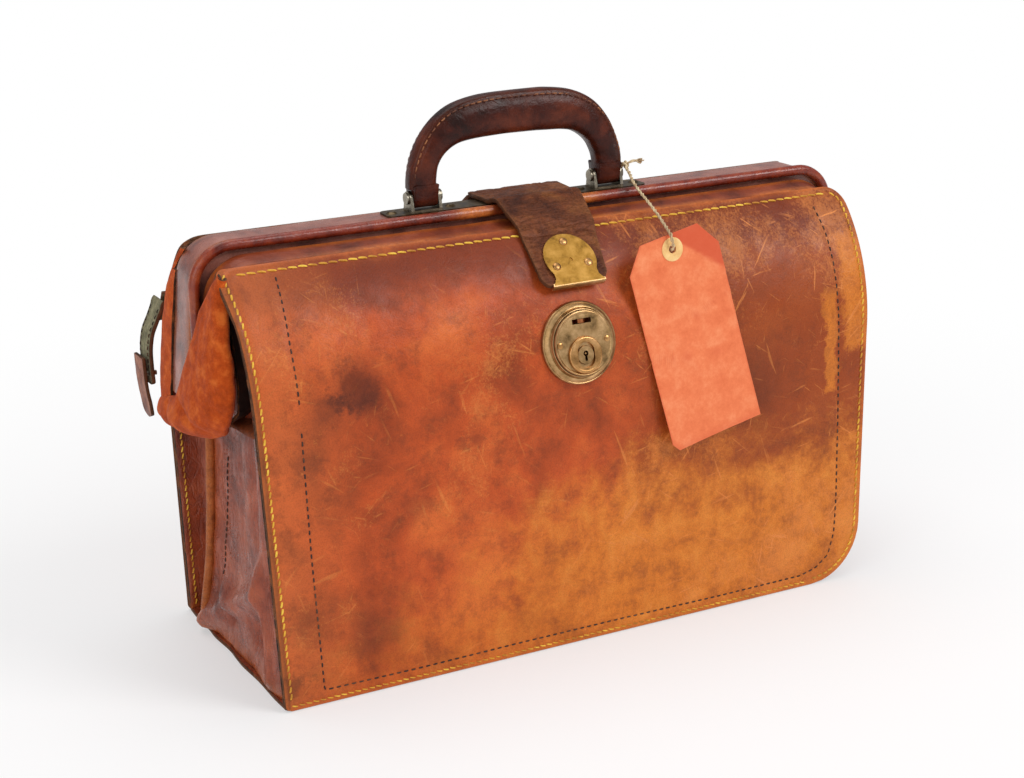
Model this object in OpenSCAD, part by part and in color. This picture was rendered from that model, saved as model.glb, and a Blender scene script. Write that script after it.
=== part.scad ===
// Old leather briefcase with a hinged top frame, a lock, a closing strap and a paper luggage tag.
// Millimetres. X runs along the case, the front faces -Y, Z is up, and the floor is at z = 0.

/* [Case] */
// Width of the front and back panels along their tops
case_top_w = 434; // [420:1:440]
// Width of the panels at the floor
case_base_w = 416; // [412:1:430]
// Depth over the panels at the floor
case_d = 174; // [160:1:190]
// Height of the frame's top above the floor
frame_h = 268; // [255:1:285]
// How far a panel leans in between the floor and its bend
panel_lean = 6; // [2:1:10]
// Height where the front panel starts to curve in
front_bend_h = 170; // [158:1:174]
// Height where the back panel starts to curve in
back_bend_h = 150; // [135:1:165]
// Radius of the lower corners at the left
left_corner_r = 4; // [2:1:8]
// Radius of the lower corners at the right
right_corner_r = 38; // [34:1:42]
// Radius of the upper corners of the panels
top_corner_r = 12; // [8:1:16]

/* [Leather] */
// Thickness of the front and back panels
panel_t = 3.6; // [3:0.1:4.2]
// Thickness of the leather of the gussets
gusset_t = 2.2; // [1.6:0.1:2.8]
// Thickness of the bottom leather
bottom_t = 3; // [2.4:0.1:3.6]
// Thickness of the lining
lining_t = 1.2; // [0.8:0.1:1.6]
// Thickness of the divider
divider_t = 2; // [1.4:0.1:3]
// Thickness of the board on the bottom
board_t = 2.5; // [2:0.1:3]
// Thickness of the leather on the frame
cover_t = 1.6; // [1.2:0.1:1.8]
// Thickness of the end pouches' outer wall
pouch_t = 5; // [4:0.5:7]

/* [Frame] */
// Distance from the handle's plane to the front of the rear jaw
rear_jaw_front = 14.4; // [13.6:0.1:15]
// Distance from the handle's plane to the back of the rear jaw
rear_jaw_back = 13.6; // [12.8:0.1:14.4]
// Depth of the front jaw from front to back
front_jaw_d = 15.5; // [14:0.1:17]
// How much lower the front jaw's top lies
front_jaw_drop = 8.7; // [8.2:0.1:10]
// Radius of the round bead along the rear jaw
bead_r = 3.4; // [3:0.1:3.8]
// Corner radius of the jaws
jaw_corner_r = 25; // [22:1:28]
// Depth of the jaws' steel channel
channel_d = 13; // [11.5:0.1:13.4]
// Thickness of the frame's steel
steel_t = 2; // [1.6:0.1:2.2]
// Drop from the frame's top to the hinge pins
arm_drop = 85; // [80:1:90]
// Radius of the hinge pins
hinge_pin_r = 3; // [2.4:0.1:3.4]

/* [Handle] */
// Height of the handle's top above the frame
handle_rise = 69; // [64:1:76]
// Sideways place of the handle's middle
handle_x = -3.5; // [-8:0.5:4]
// Width over the handle's shoulders
handle_w = 150; // [147:1:158]
// Thickness of the handle from front to back
handle_d = 17; // [13:0.5:19]
// Height of the grip's section
grip_h = 26.4; // [24:0.2:31]
// Distance of each foot's middle from the handle's middle
foot_x = 64.6; // [63:0.2:66]
// Width of each foot's eye
eye_w = 16.2; // [14:0.2:18]
// Radius of the steel core
core_r = 4; // [3:0.1:4.8]
// Radius of the handle's pins
handle_pin_r = 2.5; // [2:0.1:2.8]
// Thickness of the handle's base plate
plate_t = 1.4; // [1:0.1:1.6]

/* [Strap] */
// Width of the closing strap at the frame
strap_root_w = 64; // [58:1:68]
// Width of the closing strap at its end
strap_tip_w = 45; // [42:1:50]
// Thickness of the closing strap
strap_t = 3.2; // [2.8:0.1:3.6]
// Length of the strap's straight end
strap_end_l = 35.5; // [33:0.5:37]
// Radius of the hasp plate's round part
hasp_r = 17; // [15:0.2:18.5]
// Thickness of the hasp plate
hasp_t = 1.2; // [1:0.1:1.6]

/* [Lock] */
// Sideways place of the lock's middle
lock_x = -4; // [-10:0.5:4]
// Height of the lock's middle
lock_h = 194; // [190:1:196]
// Radius of the lock's outer ring
ring_r = 25.5; // [24.4:0.1:26]
// Radius of the lock's face
face_r = 20; // [19.4:0.1:20.6]
// Height of the lock's face above the leather
face_rise = 6; // [5:0.1:7]
// Radius of the keyhole collar
collar_r = 11.4; // [10:0.1:11.6]
// Radius of the turning plug
plug_r = 5.7; // [5:0.1:6]
// How far the bolt slides
bolt_travel = 4; // [3:0.1:4.4]

/* [Rear strap] */
// Width of the short strap behind the left end
pull_w = 18; // [14:0.5:20]
// Thickness of the short strap
pull_t = 2.6; // [2:0.1:3]

/* [Tag] */
// Width of the luggage tag
tag_w = 67; // [60:1:70]
// Length of the luggage tag
tag_l = 133; // [110:1:136]
// Thickness of the tag's card
tag_t = 0.6; // [0.5:0.1:0.8]
// Radius of the tag's reinforcing ring
tag_ring_r = 7.5; // [6.5:0.1:8.5]
// Radius of the hole in the tag
tag_hole_r = 2.5; // [2.2:0.1:3]
// Radius of the tag's string
string_r = 1.2; // [1:0.1:1.3]

/* [Hidden] */
$fn = 48;

// Gap between pieces of different bodies, and between pieces that are sewn together
gap = 0.3;
seam = 0.1;
// Radial clearance of what turns on a pin
running = 0.05;
// More than any size here, for cuts that go right through
far = 900;
// Height of the hinge pins, and half the width over the rear jaw's arms where they end
pivot_z = frame_h - arm_drop;
arm_overhang = 23;
arm_half = case_base_w / 2 + arm_overhang;
rear_low = pivot_z - 7;
front_low = pivot_z + 7;

function unit(v) = v / norm(v);
function left_of(v) = [-v[1], v[0]];

// Points of the arc of radius r that rounds corner p between its neighbours a and b
function rounded(a, p, b, r, n = 6) =
    let (u = unit(a - p), v = unit(b - p), inside = acos(u * v),
         c = p + unit(u + v) * r / sin(inside / 2),
         first = p + u * r / tan(inside / 2) - c,
         from = atan2(first[1], first[0]),
         turn = sign(cross(p - a, b - p)) * (180 - inside))
    [for (i = [0:n]) c + r * [cos(from + turn * i / n), sin(from + turn * i / n)]];

function round_loop(p, r) =
    [for (i = [0:len(p) - 1]) each rounded(p[(i + len(p) - 1) % len(p)], p[i], p[(i + 1) % len(p)], r[i])];

// Where a line's own copy, moved to its left by 1, passes point i
function mitre(p, i) =
    let (k = max(i, 1), m = min(i, len(p) - 2),
         a = left_of(unit(p[k] - p[k - 1])), b = left_of(unit(p[m + 1] - p[m])), n = unit(a + b))
    n / (n * a);

// An open line given thickness t on its left, or on its right where t is negative
function ribbon(p, t) = concat(p, [for (i = [len(p) - 1:-1:0]) p[i] + t * mitre(p, i)]);

// Outlines in X and Z drawn out along Y, and outlines in Y and Z drawn out along X
module along_y(y0, y1) { translate([0, y1, 0]) rotate([90, 0, 0]) linear_extrude(y1 - y0) children(); }
module along_x(x0, x1) { translate([x0, 0, 0]) rotate([90, 0, 90]) linear_extrude(x1 - x0) children(); }
module both_ends() { children(); mirror([1, 0, 0]) children(); }

// The outer face of a panel, seen from the end: a leaning foot, then an arc that meets the frame.
// It is kept as foot distance, shoulder distance, bend height, radius and angle of the arc.
function shell(bend_h, end_y, end_z) =
    let (dy = case_d / 2 - panel_lean - end_y, dz = end_z - bend_h, q = 2 * atan(dy / dz))
    [case_d / 2, case_d / 2 - panel_lean, bend_h, dz / sin(q), q];

// Distance from the middle and height on a shell, t deep in the leather, by height or by angle
function foot_point(s, z, t) = [s[0] + (s[1] - s[0]) * z / s[2] - t, z];
function arc_point(s, q, t) = [s[1] - s[3] * (1 - cos(q)) - t * cos(q), s[2] + s[3] * sin(q) - t * sin(q)];
function arc_angle(s, z) = asin((z - s[2]) / s[3]);
function face_line(s, z0, q1, t, n = 14) =
    concat([foot_point(s, z0, t)], [for (i = [0:n]) arc_point(s, q1 * i / n, t)]);
function flip(p) = [for (i = [len(p) - 1:-1:0]) p[i]];
function to_side(p, side) = [for (v = p) [side * v[0], v[1]]];

// Where the front jaw and the ends of both panels lie
bead_y = -(rear_jaw_front + 2.6);
front_jaw_back = bead_y - bead_r - 0.5;
front_jaw_front = front_jaw_back - front_jaw_d;
front_jaw_h = frame_h - front_jaw_drop;
front_end_h = front_jaw_h + 0.9;
front_first = shell(front_bend_h, gap + panel_t - front_jaw_front, front_end_h);
front_shell = shell(front_bend_h, gap + panel_t * cos(front_first[4]) - front_jaw_front, front_end_h);
back_first = shell(back_bend_h, rear_jaw_back + seam + panel_t, frame_h);
back_shell = shell(back_bend_h, rear_jaw_back + seam + panel_t * cos(back_first[4]), frame_h);

// A sheet that follows a shell between two depths, from height z0 to angle q1
module sheet(s, side, z0, q1, t0, t1, half_w) {
    along_x(-half_w, half_w)
        polygon(to_side(concat(face_line(s, z0, q1, t0), flip(face_line(s, z0, q1, t1))), side));
}

// The front view of a panel, or of something inside it, moved in at the sides and up at the floor
function panel_outline(side_in, floor_in, top_z, r_left, r_right) =
    let (a = case_base_w / 2 - side_in, b = case_top_w / 2 - side_in)
    round_loop([[-a, floor_in], [a, floor_in], [b, top_z], [-b, top_z]],
               [r_left, r_right, top_corner_r, top_corner_r]);
panel_edge = panel_outline(0, 0, frame_h + 2, left_corner_r, right_corner_r);
front_edge = panel_outline(0, 0, front_end_h + 0.5, left_corner_r, right_corner_r);

// The split between the lower and upper halves of the front panel, well below the lock
split_h = lock_h - ring_r - 10;
gusset_top = 205;
gusset_x = case_base_w / 2 - 1.5;
lining_in = 12;

// The space between the panels, seen from the end
inner_t = panel_t + gap;
module between_panels() {
    along_x(-far, far) polygon(concat(
        to_side(face_line(front_shell, 0, front_shell[4], inner_t), -1),
        flip(face_line(back_shell, 0, back_shell[4], inner_t))));
}

module back_panel() {
    color("#b5633a") intersection() {
        sheet(back_shell, 1, 0, back_shell[4], 0, panel_t, case_top_w / 2);
        along_y(-far, far) polygon(panel_edge);
    }
}

// The lower half of the front leather, which folds when the front jaw opens
module front_panel() {
    color("#be6a42") intersection() {
        sheet(front_shell, -1, 0, 1, 0, panel_t, case_top_w / 2);
        along_y(-far, far) polygon(front_edge);
        translate([-far / 2, -far / 2, 0]) cube([far, far, split_h]);
    }
}

// The upper half of the front leather, sewn to the front jaw, with the holes for the lock
module front_panel_upper() {
    color("#be6a42") difference() {
        intersection() {
            sheet(front_shell, -1, 0, front_shell[4], 0, panel_t, case_top_w / 2);
            along_y(-far, far) polygon(front_edge);
            translate([-far / 2, -far / 2, split_h + gap]) cube([far, far, far]);
        }
        on_lock() translate([0, 0, -lock_sink]) cylinder(r = ring_r + seam, h = 30);
        on_lock() lock_cutouts(0.4);
    }
}

// The bottom leather: flat, and turned up round the right-hand corner
module bottom_panel() {
    color("#8a4526") intersection() {
        along_y(-far, far) intersection() {
            difference() {
                polygon(panel_edge);
                polygon(panel_outline(bottom_t, bottom_t, frame_h, left_corner_r, right_corner_r - bottom_t));
            }
            union() {
                translate([1 - case_base_w / 2, 0]) square([case_base_w, bottom_t]);
                square([case_base_w, right_corner_r]);
            }
        }
        between_panels();
    }
}

module bottom_board() {
    board_front = case_d / 2 - panel_t - lining_t - 4;
    board_l = gusset_x - fold_in - gusset_t - 1;
    color("#9c8a6a") translate([-board_l, -board_front, bottom_t])
        cube([board_l + case_base_w / 2 - right_corner_r, 2 * board_front, board_t]);
}

// An end gusset: seen from above it runs back to a sharp fold and turns in behind it
fold_y = 18;
fold_in = 20.5;
module gusset(z0) {
    line = [[-gusset_x, -case_d * 0.7], [1.5 - gusset_x, -30], [-gusset_x - 1, fold_y],
            [fold_in - gusset_x, fold_y + 12], [-gusset_x - 6, case_d * 0.57]];
    intersection() {
        translate([0, 0, z0]) linear_extrude(gusset_top - z0) polygon(ribbon(line, -gusset_t));
        between_panels();
    }
}
module gusset_left() { color("#a9583a") gusset(bottom_t + gap); }
module gusset_right() { color("#a9583a") mirror([1, 0, 0]) gusset(right_corner_r + gap); }

// The rolled leather welt along each gusset's fold
welt_r = 2.6;
module welt(z0) {
    translate([-gusset_x - 1 - welt_r - seam, fold_y, z0]) cylinder(r = welt_r, h = ear_low_h - gap - z0);
}
module gusset_welt_left() { color("#c4652e") welt(4); }
module gusset_welt_right() { color("#c4652e") mirror([1, 0, 0]) welt(right_corner_r + 2); }

// The soft pouches that hang over the ends of the frame, with webs to both panels
ear_low_h = pivot_z - 32;
ear_web_h = pivot_z - 20;
ear_floor_h = pivot_z - 13;
ear_inner_x = case_top_w / 2 + 0.5;
arm_out_x = arm_half + 1;
ear_front = -62;
ear_back = 34;
module ear_web(line, t) {
    intersection() {
        translate([0, 0, ear_web_h]) linear_extrude(far) polygon(ribbon(line, t));
        between_panels();
    }
}
module ear() {
    front_y = front_jaw_front - 1.5;
    back_y = rear_jaw_back + 1;
    edge_x = -gusset_x - 1 - seam;
    wrap = [[-ear_inner_x - 4, ear_front], [-arm_half, -46], [-arm_out_x - pouch_t, -30],
            [-arm_out_x - pouch_t, 18], [-arm_out_x, ear_back], [edge_x, ear_back], [edge_x, ear_front]];
    intersection() {
        ear_web([[3 - ear_inner_x, -74], [-ear_inner_x - 4, ear_front], [4 - arm_half, -48],
                 [4 - arm_half, front_y]], gusset_t);
        linear_extrude(pivot_z + 70) square(far, center = true);
    }
    intersection() {
        ear_web([[3 - ear_inner_x, case_d / 2], [1.5 - ear_inner_x, 56], [-ear_inner_x - 3, 46],
                 [4 - arm_half, ear_back]], gusset_t);
        along_y(0, far) polygon(jaw_line(rear_jaw, -1, 0));
    }
    difference() {
        intersection() {
            linear_extrude(far) polygon(wrap);
            along_x(-far, 0) polygon([[ear_front, ear_web_h], [ear_front, pivot_z - 9], [front_y, front_low],
                                      [back_y, rear_low], [ear_back, ear_floor_h], [28, ear_low_h + 7],
                                      [22, ear_low_h], [-17, ear_low_h + 3]]);
        }
        translate([-arm_out_x, front_y, ear_floor_h]) cube([arm_out_x, back_y - front_y, far]);
    }
    intersection() {
        along_x(-far, 2 - ear_inner_x)
            polygon([[back_y, ear_web_h], [ear_back - 2, pivot_z - 15], [ear_back, pivot_z + 32],
                     [ear_back - 8, pivot_z + 57], [back_y, pivot_z + 61]]);
        along_y(0, far) polygon(jaw_line(rear_jaw, -1, 0));
    }
}
module ear_left() { color("#c0622c") ear(); }
module ear_right() { color("#c0622c") mirror([1, 0, 0]) ear(); }

module center_divider() {
    edge = round_loop([[-gusset_x + gusset_t + 0.5, bottom_t + board_t + 0.4],
                       [gusset_x - gusset_t - 0.5, bottom_t + board_t + 0.4],
                       [gusset_x - gusset_t - 0.5, gusset_top], [-gusset_x + gusset_t + 0.5, gusset_top]],
                      [3, right_corner_r - 4, 6, 6]);
    color("#7a5138") along_y(-divider_t / 2, divider_t / 2) polygon(edge);
}

module lining(s, side, side_in) {
    intersection() {
        sheet(s, side, 0, s[4] * 0.75, panel_t + gap, panel_t + gap + lining_t, case_top_w / 2);
        along_y(-far, far)
            polygon(panel_outline(side_in, bottom_t + board_t + 0.4, frame_h, 3, right_corner_r - 8));
    }
}
module lining_back() { color("#93755a") lining(back_shell, 1, lining_in + 8); }
module lining_front() {
    color("#93755a") difference() {
        lining(front_shell, -1, lining_in);
        on_lock() translate([-case_half_w - 1, case_low - 1, -40])
            cube([2 * case_half_w + 2, case_high - case_low + 2, 60]);
    }
}

// Jaws: a flat top, two round corners and two arms that lean in. A jaw is kept as its half-width at the
// top, its half-width and height at the feet, its height and its corner radius.
rear_jaw = [arm_half - 9, arm_half, frame_h, jaw_corner_r, rear_low];
front_jaw = [arm_half - 17, arm_half - 6.5, front_jaw_h, jaw_corner_r - 1, front_low];
function arm_x(j, o, z) = j[1] - o + (j[1] - j[0]) * (j[4] - z) / (j[2] - o - j[4]);
function jaw_line(j, o, low) =
    let (x = arm_x(j, o, low), b = [-(j[0] - o), j[2] - o], c = [j[0] - o, j[2] - o])
    concat([[-x, low]], rounded([-x, low], b, c, j[3] - o, 8), rounded(b, c, [x, low], j[3] - o, 8), [[x, low]]);
module jaw_band(j, o1, o2, low) {
    difference() {
        polygon(jaw_line(j, o1, low));
        polygon(jaw_line(j, o2, low - 1));
    }
}

boss_r = 6;
lug_r = 8;
lug_out = gusset_x + 8;
lug_in = lug_out - 2.5;
rear_wall = arm_half - cover_t - steel_t;

module rear_jaw_frame() {
    color("#6e6a62") difference() {
        union() {
            along_y(cover_t - rear_jaw_front, rear_jaw_back - cover_t)
                jaw_band(rear_jaw, cover_t, cover_t + steel_t, rear_low);
            along_y(cover_t - rear_jaw_front, cover_t + steel_t - rear_jaw_front)
                jaw_band(rear_jaw, cover_t, channel_d, rear_low);
            along_y(rear_jaw_back - cover_t - steel_t, rear_jaw_back - cover_t)
                jaw_band(rear_jaw, cover_t, channel_d, rear_low);
            both_ends() translate([-rear_wall - 0.5, 0, pivot_z]) rotate([0, 90, 0])
                cylinder(r = boss_r, h = rear_wall + 0.5 - lug_out - gap);
        }
        both_ends() translate([-far / 2, 0, pivot_z]) rotate([0, 90, 0])
            cylinder(r = hinge_pin_r, h = far / 2 - lug_in);
        rivet_places() cylinder(r = rivet_r, h = 40, center = true);
    }
}

// The leather on the rear jaw, with the round bead along its front edge
bead_half = arm_half - 7.4;
bead_h = frame_h - 0.8;
bead_corner = jaw_corner_r - 1.4;
module bead() {
    for (side = [-1, 1]) {
        translate([side * bead_half, bead_y, pivot_z + 5])
            cylinder(r = bead_r, h = bead_h - bead_corner - pivot_z - 5);
        translate([side * (bead_half - bead_corner), bead_y, bead_h - bead_corner]) rotate([90, 0, 0])
            rotate([0, 0, side > 0 ? 0 : 90]) rotate_extrude(angle = 90) translate([bead_corner, 0]) circle(bead_r);
    }
    translate([bead_corner - bead_half, bead_y, bead_h]) rotate([0, 90, 0])
        cylinder(r = bead_r, h = 2 * (bead_half - bead_corner));
}
module rear_jaw_cover() {
    color("#7e4a3a") difference() {
        union() {
            along_y(-rear_jaw_front, rear_jaw_back) jaw_band(rear_jaw, 0, cover_t, rear_low);
            along_y(-rear_jaw_front, cover_t - rear_jaw_front) jaw_band(rear_jaw, 0, channel_d - 0.5, rear_low);
            along_y(rear_jaw_back - cover_t, rear_jaw_back) jaw_band(rear_jaw, 0, channel_d - 0.5, rear_low);
            bead();
        }
        rivet_places() cylinder(r = rivet_r, h = 40, center = true);
    }
}

// The pins end just under the leather on the arms, which lean in a little
pin_end = arm_x(rear_jaw, cover_t, pivot_z + hinge_pin_r) - seam;
module hinge_pins() {
    color("#8d8a80") both_ends() translate([-pin_end, 0, pivot_z]) rotate([0, 90, 0]) {
        cylinder(r = hinge_pin_r, h = pin_end - lug_in + gap);
        translate([0, 0, pin_end - lug_in + gap]) cylinder(r = hinge_pin_r + 2, h = 1.8);
    }
}

module front_jaw_frame() {
    front = front_jaw_front + cover_t;
    lug = [[front, pivot_z + 21], [front + 8, pivot_z + 21], [5.5, pivot_z + 5.8], [-5.5, pivot_z - 5.8],
           [front, pivot_z + 9]];
    color("#6e6a62") difference() {
        union() {
            along_y(front, front_jaw_back - cover_t) jaw_band(front_jaw, cover_t, cover_t + steel_t, front_low);
            along_y(front, front + steel_t) jaw_band(front_jaw, cover_t, channel_d - 1.6, front_low);
            both_ends() along_x(-lug_out, -lug_in) {
                polygon(lug);
                translate([0, pivot_z]) circle(lug_r);
            }
        }
        both_ends() translate([-far / 2, 0, pivot_z]) rotate([0, 90, 0])
            cylinder(r = hinge_pin_r + running, h = far / 2);
    }
}

module front_jaw_cover() {
    skin = channel_d - 6;
    color("#834c37") {
        along_y(front_jaw_front, front_jaw_back) jaw_band(front_jaw, 0, cover_t, front_low);
        along_y(front_jaw_front, front_jaw_front + cover_t) jaw_band(front_jaw, 0, skin, front_low);
        along_y(front_jaw_back - cover_t, front_jaw_back) jaw_band(front_jaw, 0, skin, front_low);
    }
}

// The handle's plate, rivets, brackets and pins
plate_l = 91;
plate_half = 9;
plate_h = frame_h + plate_t;
rivet_r = 2;
ear_t = 2;
bracket_r = 4.5;
base_t = 1;
eye_r = 4;
sleeve_r = 6.4;
pin_h = plate_h + base_t + sleeve_r + 0.4;
eye_in = foot_x - eye_w / 2;
eye_out = foot_x + eye_w / 2;
ear_gap = 0.4;
module rivet_places() {
    for (x = [-plate_l + 5, 18.5 - foot_x, foot_x - 18.5, plate_l - 5])
        translate([handle_x + x, 0, frame_h]) children();
}
module handle_plate() {
    edge = round_loop([[-plate_l, -plate_half], [plate_l, -plate_half], [plate_l, plate_half],
                       [-plate_l, plate_half]], [4, 4, 4, 4]);
    color("#8b7a58") difference() {
        translate([handle_x, 0, frame_h]) linear_extrude(plate_t) polygon(edge);
        rivet_places() cylinder(r = rivet_r, h = 20, center = true);
    }
}
module handle_rivets() {
    under = cover_t + steel_t;
    color("#8b7a58") rivet_places() {
        translate([0, 0, -under]) cylinder(r = rivet_r, h = under + plate_t);
        translate([0, 0, plate_t]) cylinder(r1 = 3.6, r2 = 2.2, h = 1.2);
        translate([0, 0, -under - 1]) cylinder(r = 3.8, h = 1);
    }
}
module handle_brackets() {
    color("#7d7668") translate([handle_x, 0, 0]) both_ends() difference() {
        union() {
            translate([eye_in - ear_gap - ear_t, -6, plate_h])
                cube([eye_w + 2 * (ear_gap + ear_t), 12, base_t]);
            for (x = [eye_in - ear_gap - ear_t, eye_out + ear_gap]) along_x(x, x + ear_t) {
                polygon([[-6, plate_h], [6, plate_h], [bracket_r, pin_h], [-bracket_r, pin_h]]);
                translate([0, pin_h]) circle(bracket_r);
            }
        }
        translate([0, 0, pin_h]) rotate([0, 90, 0]) cylinder(r = handle_pin_r, h = far);
    }
}
module handle_pins() {
    x0 = eye_in - ear_gap - ear_t;
    x1 = eye_out + ear_gap + ear_t;
    color("#9a937f") translate([handle_x, 0, 0]) both_ends() translate([x0 - 1.3, 0, pin_h]) rotate([0, 90, 0]) {
        cylinder(r = handle_pin_r + 1.2, h = 1.3);
        cylinder(r = handle_pin_r, h = x1 - x0 + 1.3);
        translate([0, 0, x1 - x0 + 1.3]) cylinder(r = handle_pin_r + 1.2, h = 1.3);
    }
}

// The steel core runs up from both eyes and across inside the leather grip
grip_top = frame_h + handle_rise;
core_top = grip_top - grip_h / 2;
core_bend = 30;
module core_line(r) {
    both_ends() {
        translate([foot_x, 0, pin_h]) cylinder(r = r, h = core_top - core_bend - pin_h);
        translate([foot_x - core_bend, 0, core_top - core_bend]) rotate([90, 0, 0])
            rotate_extrude(angle = 90) translate([core_bend, 0]) circle(r);
        translate([0, 0, core_top]) rotate([0, 90, 0]) cylinder(r = r, h = foot_x - core_bend);
    }
}
module handle_core() {
    color("#77736a") translate([handle_x, 0, 0]) difference() {
        union() {
            core_line(core_r);
            both_ends() translate([eye_in, 0, pin_h]) rotate([0, 90, 0]) cylinder(r = eye_r, h = eye_w);
        }
        translate([-far / 2, 0, pin_h]) rotate([0, 90, 0]) cylinder(r = handle_pin_r + running, h = far);
    }
}
grip_low = pin_h + sleeve_r - 1;
module handle_grip() {
    half = handle_w / 2;
    inner = half - 19;
    outer_edge = round_loop([[-half, grip_low], [half, grip_low], [half - 9, grip_top], [9 - half, grip_top]],
                            [3, 3, 54, 54]);
    inner_edge = round_loop([[-inner - 1, grip_low - 10], [inner + 1, grip_low - 10],
                             [inner - 1, grip_top - grip_h], [1 - inner, grip_top - grip_h]], [1, 1, 28, 28]);
    color("#5a2f22") translate([handle_x, 0, 0]) difference() {
        union() {
            along_y(-handle_d / 2, handle_d / 2) difference() {
                polygon(outer_edge);
                polygon(inner_edge);
            }
            both_ends() translate([eye_in, 0, pin_h]) {
                rotate([0, 90, 0]) cylinder(r = sleeve_r, h = eye_w);
                translate([0, -sleeve_r, 0]) cube([eye_w, 2 * sleeve_r, sleeve_r]);
            }
        }
        core_line(core_r);
        both_ends() translate([eye_in - 1, 0, pin_h]) rotate([0, 90, 0]) cylinder(r = eye_r, h = eye_w + 2);
    }
}

// The closing strap: sewn to the back, over the frame and the bead, and straight down to the hasp
strap_root_y = rear_jaw_back + 2.6;
strap_low_h = plate_h + 0.5;
strap_leave_h = frame_h - 15;
strap_q = arc_angle(front_shell, strap_leave_h);
strap_out = [-cos(strap_q), sin(strap_q)];
strap_down = [-sin(strap_q), -cos(strap_q)];
strap_off = 0.6;
function front_outside(q, t) = let (p = arc_point(front_shell, q, -t)) [-p[0], p[1]];
strap_leave = front_outside(strap_q, strap_off);
strap_line = [[strap_root_y, strap_low_h], [bead_y + 6.5, strap_low_h], [bead_y + 3.5, bead_h + bead_r + 0.7],
              [bead_y - 3.5, bead_h + bead_r + 0.7], front_outside(front_shell[4], strap_off + 0.2),
              strap_leave, strap_leave + strap_end_l * strap_down];
strap_tip_y = strap_line[6][0];
strap_root_x = 3;
strap_tip_x = -1.5;
module strap_anchor() {
    color("#6c3c25") intersection() {
        sheet(back_shell, 1, 0, back_shell[4], -seam, -seam - strap_t, case_top_w / 2);
        translate([strap_root_x - strap_root_w / 2, 0, frame_h - 36]) cube([strap_root_w, far, 100]);
    }
}
module strap() {
    root = strap_root_w / 2;
    tip = strap_tip_w / 2;
    low_y = strap_tip_y - 4;
    edge = round_loop([[strap_root_x - root, strap_root_y + 1], [strap_tip_x - tip, low_y],
                       [strap_tip_x + tip, low_y], [strap_root_x + root, strap_root_y + 1]], [0.5, 8, 8, 0.5]);
    color("#6c3c25") difference() {
        intersection() {
            along_x(-far / 2, far / 2) polygon(ribbon(strap_line, -strap_t));
            linear_extrude(far) polygon(edge);
        }
        on_strap() hasp_cuts();
    }
}

// The strap's outer face where it leaves the panel: local y runs up the strap and z points out of it
module on_strap() {
    p = strap_leave + strap_t * strap_out;
    translate([strap_tip_x + 1, p[0], p[1]]) rotate([90 - strap_q, 0, 0]) children();
}
hasp_low = -strap_end_l;
hasp_mid = hasp_low + hasp_r;
hasp_lip = 18;
prong_x = 4.3;
hasp_rivet_r = 1.4;
module hasp_rivet_places() {
    for (p = [[0, hasp_mid + 12], [-11, hasp_mid - 4.5], [11, hasp_mid - 4.5]]) translate([p[0], p[1], 0]) children();
}
module prong_places() {
    for (x = [-prong_x, prong_x]) translate([x - 1.5, hasp_low + 2.6, 0]) children();
}
module hasp_cuts() {
    hasp_rivet_places() translate([0, 0, -9]) cylinder(r = hasp_rivet_r, h = 18);
    prong_places() translate([0, 0, -9]) cube([3, 2.4, 9]);
}
module hasp_plate() {
    color("#c68e3a") on_strap() difference() {
        union() {
            translate([0, 0, seam]) linear_extrude(hasp_t) union() {
                translate([0, hasp_mid]) circle(hasp_r);
                polygon([[-13, hasp_low + 6], [13, hasp_low + 6], [hasp_lip, hasp_low - seam],
                         [-hasp_lip, hasp_low - seam]]);
            }
            translate([-hasp_lip, hasp_low - seam - 1.1, -strap_t - 0.1])
                cube([2 * hasp_lip, 1.1, strap_t + 0.2 + hasp_t]);
        }
        hasp_rivet_places() translate([0, 0, -9]) cylinder(r = hasp_rivet_r, h = 18);
        translate([0, hasp_mid - 1, seam + hasp_t - 0.3]) cylinder(r = 1.3, h = 5);
    }
}
module hasp_rivets() {
    top = seam + hasp_t;
    color("#a8936a") on_strap() hasp_rivet_places() {
        translate([0, 0, -strap_t]) cylinder(r = hasp_rivet_r, h = strap_t + top);
        translate([0, 0, top]) cylinder(r1 = 2.6, r2 = 1.5, h = 0.9);
        translate([0, 0, -strap_t - 0.4]) cylinder(r = 2.4, h = 0.4);
    }
}
module hasp_staple() {
    color("#7c7566") on_strap() prong_places()
        translate([0, 0, -strap_t - 4.2]) cube([3, 2.4, strap_t + 4.2 + seam]);
}

// The lock: local z points out of the leather and local y runs up it
lock_q = arc_angle(front_shell, lock_h);
lock_sink = 2;
plug_y = -7.2;
slot_y = 13.5;
slot_w = 13;
slot_h = 3;
face_h = face_rise;
case_half_w = 22;
case_low = -24;
case_high = 22;
case_front = -6.5;
case_back = -15.5;
module on_lock() {
    p = front_outside(lock_q, 0);
    translate([lock_x, p[0], p[1]]) rotate([90 - lock_q, 0, 0]) children();
}
module stud_places() { for (x = [-15, 15], y = [-17, 17]) translate([x, y, 0]) children(); }
module face_rivet_places() { for (x = [-16.3, 16.3]) translate([x, 0.5, 0]) children(); }
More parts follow.
